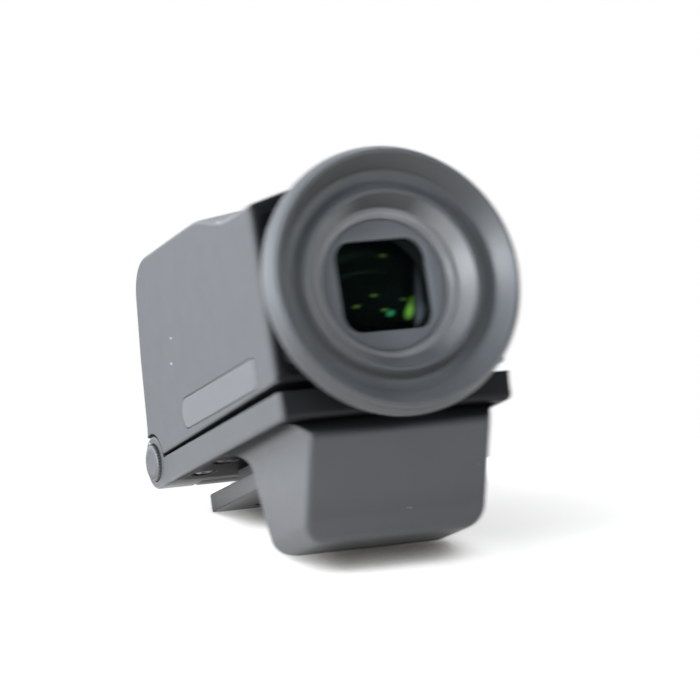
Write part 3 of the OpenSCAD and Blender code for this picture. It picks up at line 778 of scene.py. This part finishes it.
WINDOW_W = 10.1
WINDOW_H = 9.5


def build_mask():
    lo, hi = box_mm("eyepiece_mask")
    centre = Vector((0, eye.z))
    window = anticlockwise([p + centre for p in rectangle(WINDOW_W / 2, -WINDOW_H / 2, WINDOW_H / 2, 2, 4)])
    inner = by_angle(window, centre)
    outer = [centre + (p - centre).normalized() * (hi.x + 0.05) for p in inner]
    mask = facing_plate("mask", outer, inner, lo.y, hi.y, 0.12)
    dress(mask, "eyepiece_mask")


def lens_profile(front, back, front_bulge, back_bulge, radius):
    faces = 14
    steps = [i / faces for i in range(faces + 1)]
    profile = [(radius * s, front + front_bulge * s * s) for s in steps]
    return profile + [(radius * s, back - back_bulge * s * s) for s in reversed(steps)]


def build_lens(node, front_bulge, back_bulge, material=None):
    lo, hi = box_mm(node)
    front = lo.y + max(0.0, -front_bulge)
    back = hi.y - max(0.0, -back_bulge)
    lens = turned("lens", lens_profile(front, back, front_bulge, back_bulge, hi.x), 128)
    dress(lens, node, 40, material)


# ---------- materials ----------


class Nodes:
    """A node tree under construction. A socket is given another node's output or a plain value."""

    def __init__(self, tree):
        self.tree = tree

    def add(self, kind, **props):
        node = self.tree.nodes.new(kind)
        for key, value in props.items():
            setattr(node, key, value)
        return node

    def link(self, a, b):
        self.tree.links.new(a, b)

    def feed(self, socket, value):
        if isinstance(value, (int, float, tuple, Vector)):
            socket.default_value = value
        else:
            self.link(value, socket)

    def fill(self, node, **values):
        """Feeds a node's inputs by name."""
        for key, value in values.items():
            self.feed(node.inputs[key.replace("_", " ")], value)
        return node

    def math(self, operation, *values):
        node = self.add("ShaderNodeMath", operation=operation)
        for socket, value in zip(node.inputs, values):
            self.feed(socket, value)
        return node.outputs[0]

    def dot(self, a, b):
        node = self.add("ShaderNodeVectorMath", operation="DOT_PRODUCT")
        self.feed(node.inputs[0], a)
        self.feed(node.inputs[1], b)
        return node.outputs["Value"]

    def times(self, a, b):
        return self.math("MULTIPLY", a, b)

    def most(self, a, b):
        return self.math("MAXIMUM", a, b)

    def mix(self, share, a, b, kind="RGBA"):
        node = self.add("ShaderNodeMix", data_type=kind)
        first, out = (6, 2) if kind == "RGBA" else (2, 0)
        for socket, value in zip((node.inputs[0], node.inputs[first], node.inputs[first + 1]), (share, a, b)):
            self.feed(socket, value)
        return node.outputs[out]


class Finish(Nodes):
    """A node material under construction. Object coordinates are scaled to millimetres."""

    def __init__(self, name):
        self.material = bpy.data.materials.new(name)
        self.material.use_nodes = True
        super().__init__(self.material.node_tree)
        self.shader = self.tree.nodes["Principled BSDF"]
        where = self.add("ShaderNodeTexCoord")
        scaled = self.fill(self.add("ShaderNodeVectorMath", operation="SCALE"), Scale=1 / MM)
        self.link(where.outputs["Object"], scaled.inputs[0])
        self.place = scaled.outputs["Vector"]

    def stretched(self, scale):
        return self.fill(self.add("ShaderNodeMapping"), Vector=self.place, Scale=scale).outputs["Vector"]

    def noise(self, scale, detail=3.0, rough=0.55, vector=None):
        node = self.add("ShaderNodeTexNoise")
        self.fill(node, Vector=vector or self.place, Scale=scale, Detail=detail, Roughness=rough)
        return node.outputs["Fac"]

    def ranged(self, value, low, high, to_low=0.0, to_high=1.0):
        node = self.add("ShaderNodeMapRange")
        self.fill(node, Value=value, From_Min=low, From_Max=high, To_Min=to_low, To_Max=to_high)
        return node.outputs["Result"]

    def rounded_normal(self, radius):
        return self.fill(self.add("ShaderNodeBevel", samples=4), Radius=radius * MM).outputs["Normal"]

    def bump(self, height, depth, strength=1.0, normal=None):
        node = self.add("ShaderNodeBump")
        self.fill(node, Distance=depth * MM, Strength=strength, Height=height)
        if normal is not None:
            self.link(normal, node.inputs["Normal"])
        return node.outputs["Normal"]

    def edge_mask(self, radius):
        """High on the object's worn outer edges."""
        sharp = self.add("ShaderNodeNewGeometry").outputs["Normal"]
        return self.ranged(self.dot(self.rounded_normal(radius), sharp), 0.99, 0.8)

    def pocket(self, distance, dark, light, least=0.0):
        """Low in narrow places that little light reaches."""
        node = self.fill(self.add("ShaderNodeAmbientOcclusion", samples=4), Distance=distance * MM)
        return self.ranged(node.outputs["AO"], dark, light, least, 1.0)

    def facing(self, axis, start, end, own=False):
        """Rises from 0 to 1 as the normal's part along an axis, the piece's own or the room's, grows."""
        source = self.add("ShaderNodeTexCoord" if own else "ShaderNodeNewGeometry")
        split = self.fill(self.add("ShaderNodeSeparateXYZ"), Vector=source.outputs["Normal"])
        return self.ranged(split.outputs[axis], start, end)

    def rise(self, axis, start, end, *span):
        """Rises from 0 to 1, or over another span, between two places along an axis."""
        split = self.fill(self.add("ShaderNodeSeparateXYZ"), Vector=self.place)
        return self.ranged(split.outputs[axis], start, end, *span)

    def off_axis(self, x, z, long=1.0, wide=1.0, turn=0.0):
        """Distance from a point x and z millimetres from the optical axis, in units of an ellipse's arms."""
        mapping = self.add("ShaderNodeMapping", vector_type="TEXTURE")
        self.fill(mapping, Vector=self.place, Location=(x, 0, eye.z + z),
                  Rotation=(0, math.radians(turn), 0), Scale=(long, 1e6, wide))
        length = self.add("ShaderNodeVectorMath", operation="LENGTH")
        self.link(mapping.outputs["Vector"], length.inputs[0])
        return length.outputs["Value"]

    def spot(self, x, z, long, wide, turn, soft):
        """A soft ellipse about a point near the optical axis."""
        return self.ranged(self.off_axis(x, z, long, wide, turn), 1.0 + soft, 1.0 - soft)

    def band(self, x, z, radius, width):
        """A thin arc of a circle about a point near the optical axis."""
        off = self.math("ABSOLUTE", self.math("SUBTRACT", self.off_axis(x, z), radius))
        return self.ranged(off, width, 0.0)

    def set(self, **values):
        self.fill(self.shader, **values)

    def output(self, share, first, second):
        """Makes a mix of two shaders the material's surface."""
        mixed = self.add("ShaderNodeMixShader")
        for socket, value in zip(mixed.inputs, (share, first.outputs[0], second.outputs[0])):
            self.link(value, socket)
        self.link(mixed.outputs[0], self.tree.nodes["Material Output"].inputs["Surface"])


def tint(colour, factor):
    return tuple(min(1.0, c * factor) for c in colour[:3]) + (1.0,)


# Reach and places of the painted shade on the casings; the shoe foot's painted shade uses the same reach.
OCCLUSION_REACH = 9.0
OPEN_FAR_END = (8.0, 15.0)
OPEN_LOW_END = (-2.5, -6.0)
CUP_SHADE = (3.2, 4.2)
CUP_SHADE_LIGHT = 0.28
ARM_SHADE = (14.0, 8.0)
ARM_SHADE_LIGHT = 0.1


def painted_casing_light(f):
    """Share of the room's light on a casing, painted into its colour as shade: low in gaps, behind the eyecup and
    below the arm.
    """
    ends = f.most(f.rise("Y", *OPEN_FAR_END), f.rise("Z", *OPEN_LOW_END))
    sides = f.math("ADD", f.facing("X", -0.3, -0.6), f.facing("X", 0.3, 0.6))
    light = f.most(f.most(f.pocket(OCCLUSION_REACH, 0.35, 0.85, 0.28), ends), sides)
    behind_cup = f.times(f.facing("Y", -0.35, -0.8, own=True), f.rise("Z", *CUP_SHADE))
    light = f.times(light, f.ranged(behind_cup, 0.0, 1.0, 1.0, CUP_SHADE_LIGHT))
    below = f.times(f.facing("Z", -0.6, -0.9, own=True), f.rise("Y", *ARM_SHADE))
    at_arm = f.times(f.rise("Z", 1.0, 3.0), f.rise("Z", 6.0, 5.0))
    return f.times(light, f.ranged(f.times(below, at_arm), 0.0, 1.0, 1.0, ARM_SHADE_LIGHT))


def plastic(slot, rough, grain, grain_depth, wear=0.3, mottle=0.03, streaks=0.0, speck=0.0, round_edge=0.1,
            paint_shade=False, factor=1.0, cool=1.0, painted_left_tone=0.0):
    """Moulded plastic: fine spark-eroded grain, slow mottling, faint streaks, polished edges and dust; optionally
    painted shade in gaps, behind the eyecup and under the arm, and painted shade on its left-facing parts.
    """
    red, green, blue = FINISH[slot]["base_color"][:3]
    colour = tint((red / cool, green, blue * cool), factor)
    f = Finish(slot)
    slow = f.noise(0.22, 4)
    fast = f.noise(grain, 3, 0.6)
    base = f.mix(f.ranged(slow, 0.35, 0.65), tint(colour, 1 - mottle), tint(colour, 1 + mottle))
    if streaks:
        lines = f.noise(1.0, 4, 0.6, f.stretched((0.5, 0.12, 2.6)))
        base = f.mix(f.ranged(lines, 0.42, 0.66, 0.0, streaks), base, tint(colour, 1.5))
    if wear:
        base = f.mix(f.times(f.edge_mask(0.3), wear), base, tint(colour, 3.0))
    if speck:
        dots = f.fill(f.add("ShaderNodeTexVoronoi"), Vector=f.place, Scale=0.3)
        mask = f.math("LESS_THAN", dots.outputs["Distance"], speck)
        base = f.mix(mask, base, (0.5, 0.5, 0.48, 1.0))
    # Painted shade: left-facing parts take a scaled copy of the base colour; on the dioptre ring they are darker.
    if painted_left_tone:
        base = f.mix(f.facing("X", -0.15, -0.5), base, tint(colour, painted_left_tone))
    spread = f.ranged(f.noise(0.5, 5), 0.3, 0.7, rough - 0.02, rough + 0.02)
    normal = f.bump(fast, grain_depth, 1.0, f.rounded_normal(round_edge))
    f.set(Base_Color=base, Roughness=spread, Normal=normal)
    if paint_shade:
        # Painted shade: the base colour darkens and the specular dims where the share of light is low.
        light = painted_casing_light(f)
        f.set(Base_Color=f.mix(light, tint(colour, 0.15), base), Specular_IOR_Level=f.times(light, 0.5))
    return f.material


# Radius of the inner ridge, inside which the rubber's sideways slopes get painted light.
INNER_RIDGE_R = 9.54


def rubber(slot):
    """Soft rubber: matte, with a fine matt grain and a little dust in it, painted shade on its downward-facing
    parts and painted light on the sideways slopes inside its inner ridge.
    """
    colour = [c * share for c, share in zip(FINISH[slot]["base_color"], (0.94, 1.0, 1.06))]
    f = Finish(slot)
    slow = f.noise(0.35, 5)
    base = f.mix(f.ranged(slow, 0.3, 0.7), tint(colour, 1.95), tint(colour, 2.25))
    # Painted shade: downward-facing parts of the rubber are darker.
    base = f.mix(f.facing("Z", -0.05, -0.5), base, tint(colour, 0.7))
    # Painted light: sideways-facing slopes inside the inner ridge get a lighter, warmer colour.
    sideways = f.math("ADD", f.facing("X", 0.2, 0.5), f.facing("X", -0.3, -0.6))
    painted_ridge_light = f.times(sideways, f.spot(0, 0, INNER_RIDGE_R, INNER_RIDGE_R, 0, 0.08))
    warm_painted_light_colour = [c * share for c, share in zip(colour, (1.08, 1.0, 0.94))]
    base = f.mix(painted_ridge_light, base, tint(warm_painted_light_colour, 3.8))
    dust = f.ranged(f.noise(9.0, 2, 0.5), 0.70, 0.76, 0.0, 0.25)
    base = f.mix(dust, base, (0.3, 0.31, 0.32, 1.0))
    normal = f.bump(f.noise(14.0, 3, 0.6), 0.012, 1.0)
    f.set(Base_Color=base, Roughness=f.ranged(f.noise(0.8, 4), 0.3, 0.7, 0.44, 0.5), Normal=normal)
    f.set(Sheen_Weight=0.2, Sheen_Roughness=0.4, Specular_IOR_Level=0.8)
    return f.material


def metal(slot, rough, grain, stretch=(1, 1, 1), shift=0.15, metallic=1.0, factor=1.0, paint_shade=False):
    """Turned, blasted or plated metal with directional grain; optionally with painted shade in gaps."""
    colour = FINISH[slot]["base_color"]
    f = Finish(slot)
    lines = f.noise(grain, 4, 0.6, f.stretched(stretch))
    base = f.mix(f.ranged(lines, 0.3, 0.7), tint(colour, factor * (1 - shift)),
                 tint(colour, factor * (1 + shift)))
    worn = f.times(f.edge_mask(0.12), 0.35)
    base = f.mix(worn, base, tint(colour, factor * 2.2))
    normal = f.bump(lines, 0.006, 1.0, f.rounded_normal(0.06))
    f.set(Base_Color=base, Roughness=f.ranged(lines, 0.3, 0.7, rough - 0.06, rough + 0.08), Normal=normal)
    f.set(Metallic=metallic)
    # Painted shade: the base colour darkens in gaps, except on downward-facing faces.
    if paint_shade:
        light = f.most(f.pocket(OCCLUSION_REACH, 0.5, 0.95), f.facing("Z", -0.8, -0.95, own=True))
        f.set(Base_Color=f.mix(light, tint(colour, 0.08), base))
    return f.material


def circuit_board(slot):
    """Green solder mask over copper tracks."""
    colour = FINISH[slot]["base_color"]
    f = Finish(slot)
    bricks = f.add("ShaderNodeTexBrick")
    f.fill(bricks, Vector=f.place, Scale=1.6, Mortar_Size=0.06, Color1=tint(colour, 0.9),
           Color2=tint(colour, 1.15), Mortar=tint(colour, 2.2))
    base = f.mix(f.ranged(f.noise(1.5, 4), 0.45, 0.6, 0.0, 0.5), bricks.outputs["Color"], tint(colour, 0.6))
    f.set(Base_Color=base, Roughness=0.35, Normal=f.bump(bricks.outputs["Fac"], 0.02, -0.5))
    return f.material


def film(slot):
    """Amber polyimide film with copper conductors that run along it."""
    colour = FINISH[slot]["base_color"]
    f = Finish(slot)
    wave = f.fill(f.add("ShaderNodeTexWave", bands_direction="X"), Vector=f.place, Scale=0.9)
    base = f.mix(f.ranged(wave.outputs["Fac"], 0.35, 0.6), tint(colour, 0.55), tint(colour, 1.5))
    base = f.mix(f.ranged(f.noise(2.0), 0.3, 0.7, 0.0, 0.3), base, tint(colour, 0.8))
    f.set(Base_Color=base, Roughness=0.3, Coat_Weight=0.5, Normal=f.bump(wave.outputs["Fac"], 0.02, 0.5))
    return f.material


def smooth_finish(slot, rough):
    """Display glass or light guide: clean, with a faint pattern of rows."""
    colour = FINISH[slot]["base_color"]
    f = Finish(slot)
    rows = f.noise(3.0, 2, 0.5, f.stretched((1, 1, 6)))
    base = f.mix(f.ranged(rows, 0.35, 0.65), tint(colour, 0.85), tint(colour, 1.15))
    f.set(Base_Color=base, Roughness=f.ranged(rows, 0.3, 0.7, rough, rough + 0.08), Coat_Weight=0.4)
    return f.material


def clear_window(slot):
    """The flat protective window: nearly clear, with a faint reflection and a few dust specks."""
    f = Finish(slot + "_window")
    clear = f.fill(f.add("ShaderNodeBsdfTransparent"), Color=(0.86, 0.9, 0.88, 1.0))
    gloss = f.fill(f.add("ShaderNodeBsdfGlossy"), Roughness=0.03, Color=(0.75, 1.0, 0.85, 1.0))
    dust = f.ranged(f.noise(3.2, 6, 0.7), 0.66, 0.72, 0.0, 0.25)
    f.output(f.math("MULTIPLY_ADD", dust, 0.004, 0.001), clear, gloss)
    return f.material


def coated_lens(slot, painted_reflections):
    """Dark coated glass; the eye lens also has painted reflections: glowing green images of the lights."""
    f = Finish(slot + ("_eye" if painted_reflections else "_inner"))
    tone = f.noise(0.5, 3)
    base = f.mix(f.ranged(tone, 0.3, 0.7), (0.004, 0.006, 0.006, 1.0), (0.005, 0.008, 0.008, 1.0))
    f.set(Base_Color=base, Roughness=0.06, Specular_IOR_Level=0.012, Specular_Tint=(0.5, 1.0, 0.7, 1.0))
    if not painted_reflections:
        return f.material
    # Colours, strengths and places of the painted reflections, made to glow.
    lime = (0.36, 0.95, 0.12, 1.0)
    olive = (0.30, 0.50, 0.10, 1.0)
    teal = (0.10, 0.80, 0.40, 1.0)
    pale = (0.62, 0.68, 0.85, 1.0)
    grey_green = (0.60, 0.95, 0.75, 1.0)
    left = f.spot(-3.6, 1.6, 3.78, 3.06, 0, 0.5)
    painted_reflection_spots = (
        (grey_green, 0.0094, f.times(left, f.band(-0.8, -5.0, 8.9, 0.7))),
        (grey_green, 0.0119, f.times(left, f.band(-1.0, -8.0, 9.9, 0.22))),
        (pale, 0.0765, f.spot(4.7, -1.6, 2.52, 0.378, 97, 0.8)),
        (pale, 0.136, f.spot(4.8, -3.4, 1.26, 0.54, 92, 0.8)),
        (lime, 0.187, f.spot(3.62, -1.75, 0.675, 0.27, 118, 0.7)),
        (lime, 0.425, f.spot(3.36, -2.55, 0.648, 0.378, 118, 0.6)),
        (olive, 0.221, f.spot(2.75, -1.25, 0.225, 0.126, 170, 0.7)),
        (teal, 0.357, f.spot(1.1, -2.6, 0.36, 0.234, 150, 0.6)),
        (lime, 0.238, f.spot(0.46, -2.2, 0.27, 0.108, 165, 0.7)),
        (olive, 0.289, f.spot(-0.53, -0.65, 0.252, 0.144, 170, 0.7)),
        (olive, 0.34, f.spot(-2.5, -1.6, 0.27, 0.108, 160, 0.7)),
        (olive, 0.17, f.spot(1.35, 3.5, 0.306, 0.18, 175, 0.7)))
    painted_glow = (0.0, 0.0, 0.0, 1.0)
    for colour, strength, mask in painted_reflection_spots:
        painted_glow = f.mix(f.times(mask, strength), painted_glow, colour)
    f.set(Emission_Color=painted_glow, Emission_Strength=1.0)
    return f.material


def flocked(slot):
    """Matte black inner tube with fine anti-reflection grooves."""
    colour = FINISH[slot]["base_color"]
    f = Finish(slot)
    wave = f.fill(f.add("ShaderNodeTexWave", bands_direction="Y"), Vector=f.place, Scale=0.8)
    base = f.mix(f.ranged(f.noise(6.0, 3), 0.3, 0.7), tint(colour, 0.6), tint(colour, 1.6))
    f.set(Base_Color=base, Roughness=0.75, Normal=f.bump(wave.outputs["Fac"], 0.05, 0.8))
    return f.material


def make_materials():
    return {
        "housing": plastic("housing", 0.46, 7.0, 0.012, speck=0.04, paint_shade=True),
        "base_plastic": plastic("base_plastic", 0.43, 7.0, 0.012, speck=0.03, paint_shade=True),
        "cover_plastic": plastic("cover_plastic", 0.5, 8.0, 0.012, wear=0.15, paint_shade=True),
        "inlay_plastic": plastic("inlay_plastic", 0.36, 10.0, 0.005, wear=0.2, streaks=0.15, round_edge=0.06),
        "ring_plastic": plastic("ring_plastic", 0.45, 9.0, 0.006, wear=0.0, factor=3.6, painted_left_tone=0.6),
        "mask_plastic": plastic("mask_plastic", 0.45, 9.0, 0.006, wear=0.0, round_edge=0.06, factor=1.85,
                                cool=1.06),
        "chip": plastic("chip", 0.4, 12.0, 0.006, wear=0.3),
        "optics_plastic": flocked("optics_plastic"),
        "cup_rubber": rubber("cup_rubber"),
        "lens_glass": coated_lens("lens_glass", False),
        "foot_metal": metal("foot_metal", 0.42, 6.0, (1, 1, 1), 0.06, 0.7, 0.8, paint_shade=True),
        "steel": metal("steel", 0.28, 3.0, (4, 1, 1)),
        "screw_steel": metal("screw_steel", 0.36, 5.0, (1, 1, 1), metallic=0.9),
        "cap_metal": metal("cap_metal", 0.38, 8.0, (0.2, 1, 1), metallic=0.8),
        "plug_metal": metal("plug_metal", 0.22, 4.0, (1, 0.2, 1), 0.06),
        "contact_gold": metal("contact_gold", 0.25, 4.0, (4, 0.3, 1), 0.08),
        "bush_bronze": metal("bush_bronze", 0.4, 8.0, (1, 1, 1), 0.2),
        "board": circuit_board("board"),
        "flex": film("flex"),
        "panel": smooth_finish("panel", 0.12),
        "light_guide": smooth_finish("light_guide", 0.3)}


# ---------- floor, light and camera ----------

TILT = math.radians(23.22)
GROUND_UP = Vector((0, -math.sin(TILT), math.cos(TILT)))
GROUND_FAR = Vector((0, math.cos(TILT), math.sin(TILT)))


def on_ground(right, away, up=0.0):
    """A point given by its distances from the foot's front edge, along the ground, in metres."""
    start = Vector((0, foot_hi.y, 0)) * MM
    return start + (Vector((right, 0, 0)) + GROUND_FAR * away + GROUND_UP * up) * MM


def floor_material():
    """White, with a painted soft shade at the object's right and a painted dark contact shadow; clear from below.
    """
    f = Finish("floor")
    grain = f.noise(0.05, 3)
    base = f.mix(f.ranged(grain, 0.3, 0.7), (0.94, 0.91, 0.87, 1.0), (0.96, 0.93, 0.89, 1.0))
    # Painted contact shadow: a dark warm colour where little light reaches near the object, except at its left.
    base = f.mix(f.most(f.pocket(4.0, 0.25, 0.65), f.rise("X", -5.0, -9.0)), (0.34, 0.32, 0.28, 1.0), base)
    # The floor's glow is painted light that keeps it white, rising towards the far edge; it drops near the object
    # and a little at its right as painted shade.
    glow_with_painted_shade = f.most(f.pocket(5.0, 0.2, 0.62), f.rise("X", -9.0, -3.0, 0.6, 0.0))
    glow_with_painted_shade = f.times(glow_with_painted_shade, f.rise("X", 4.0, 16.0, 0.58, 0.52))
    f.set(Base_Color=base, Roughness=0.9, Specular_IOR_Level=0.1, Emission_Color=(1.0, 1.0, 1.0, 1.0),
          Emission_Strength=f.math("ADD", f.rise("Y", 8.0, 17.0), glow_with_painted_shade))
    below = f.add("ShaderNodeNewGeometry").outputs["Backfacing"]
    f.output(below, f.shader, f.add("ShaderNodeBsdfTransparent"))
    return f.material


def build_floor():
    corners = [on_ground(x, y, -0.03) for x, y in ((-1200, -900), (1200, -900), (1200, 11.2), (-1200, 11.2))]
    mesh = bpy.data.meshes.new("floor")
    mesh.from_pydata(corners, [], [(0, 1, 2, 3)])
    floor = bpy.data.objects.new("floor", mesh)
    bpy.context.scene.collection.objects.link(floor)
    mesh.materials.append(floor_material())


SURROUND = 0.15
ROOM_TONE = (0.945, 0.985, 1.035, 1.0)
LOBES = (
    (310, 10, 10, 5.2),
    (0, 10, 10, 3.0),
    (275, 45, 8, 2.4),
    (254, 8, 200, 95.0),
    (260, 10, 10, 1.4),
    (120, 8, 14, 3.6),
    (180, 50, 7, 0.1))


def heading(azimuth, elevation):
    """Azimuth 0 lies beyond the object, 90 at its right; elevation counts from the floor."""
    a = math.radians(azimuth)
    e = math.radians(elevation)
    level = GROUND_FAR * math.cos(a) + Vector((1, 0, 0)) * math.sin(a)
    return level * math.cos(e) + GROUND_UP * math.sin(e)


def build_world():
    """White to the camera; to the object a dim surround with soft bright lobes, most of them at the left."""
    world = bpy.data.worlds.new("surround")
    bpy.context.scene.world = world
    world.use_nodes = True
    n = Nodes(world.node_tree)
    direction = n.add("ShaderNodeTexCoord").outputs["Generated"]
    total = SURROUND
    for azimuth, elevation, sharp, strength in LOBES:
        towards = n.dot(direction, heading(azimuth, elevation))
        lobe = n.math("POWER", n.most(towards, 0.0), sharp)
        total = n.math("MULTIPLY_ADD", lobe, strength, total)
    seen = n.add("ShaderNodeLightPath").outputs["Is Camera Ray"]
    background = n.tree.nodes["Background"]
    n.fill(background, Strength=n.mix(seen, total, 1.0, "FLOAT"),
           Color=n.mix(seen, ROOM_TONE, (1.0, 1.0, 1.0, 1.0)))


LENS_MM = 205.7
CAMERA_AZIMUTH = math.radians(22.98)
CAMERA_ELEVATION = math.radians(12.38)
CAMERA_DISTANCE = 406.83
CAMERA_RIGHT = -4.5
CAMERA_UP = 3.16
F_STOP = 60.0
BLUR_RATIO = 0.34


def focus_point():
    """The camera focuses on the hinge, as the eyecup is softer than the hinge."""
    point = bpy.data.objects.new("focus", None)
    bpy.context.scene.collection.objects.link(point)
    point.location = hinge * MM
    return point


def build_camera():
    sa, ca = math.sin(CAMERA_AZIMUTH), math.cos(CAMERA_AZIMUTH)
    se, ce = math.sin(CAMERA_ELEVATION), math.cos(CAMERA_ELEVATION)
    forward = Vector((sa * ce, 0, 0)) + GROUND_FAR * (ca * ce) - GROUND_UP * se
    right = Vector((ca, 0, 0)) - GROUND_FAR * sa
    up = right.cross(forward)
    data = bpy.data.cameras.new("camera")
    data.lens = LENS_MM
    data.sensor_width = 36
    data.clip_start = 0.01
    data.clip_end = 10
    data.dof.use_dof = True
    data.dof.focus_object = focus_point()
    data.dof.aperture_fstop = F_STOP
    data.dof.aperture_ratio = BLUR_RATIO
    camera = bpy.data.objects.new("camera", data)
    bpy.context.scene.collection.objects.link(camera)
    sight = Vector((0, HEAD_REAR, ARM_TOP))
    place = sight - forward * CAMERA_DISTANCE + right * CAMERA_RIGHT + up * CAMERA_UP
    turn = Matrix((right, up, -forward)).transposed().to_4x4()
    camera.matrix_world = Matrix.Translation(place * MM) @ turn
    bpy.context.scene.camera = camera


# ---------- build ----------


def dress_cad_nodes():
    """Finishes for the CAD nodes that are shown as they are."""
    for node, obj in frame["nodes"].items():
        if obj.hide_render:
            continue
        obj.data.materials.clear()
        obj.data.materials.append(MATERIALS[SLOT_OF[node]])
        obj.data.shade_smooth()
        obj.data.set_sharp_from_angle(angle=math.radians(SHARP_ANGLE))


def build():
    MATERIALS.update(make_materials())
    build_head()
    build_inlays()
    build_rear_cover()
    build_arm()
    build_caps()
    build_box()
    build_foot()
    build_arm_cover()
    build_eyecup()
    build_dioptre_ring()
    build_mask()
    build_lens("eye_lens", 1.4, 1.6, coated_lens("lens_glass", True))
    build_lens("second_lens", -0.6, 0.3)
    build_lens("third_lens", 0.8, 0.6)
    build_screws("rear_cover_screws", "y", *SMALL_SCREW)
    build_screws("arm_cover_screws", "z", *SMALL_SCREW)
    build_screws("foot_screws", "z", *FOOT_SCREW)
    dress_cad_nodes()
    glass = frame["nodes"]["window_glass"]
    glass.data.materials.clear()
    glass.data.materials.append(clear_window("lens_glass"))


build()
build_floor()
build_world()
build_camera()
bpy.context.scene.view_settings.view_transform = "Standard"
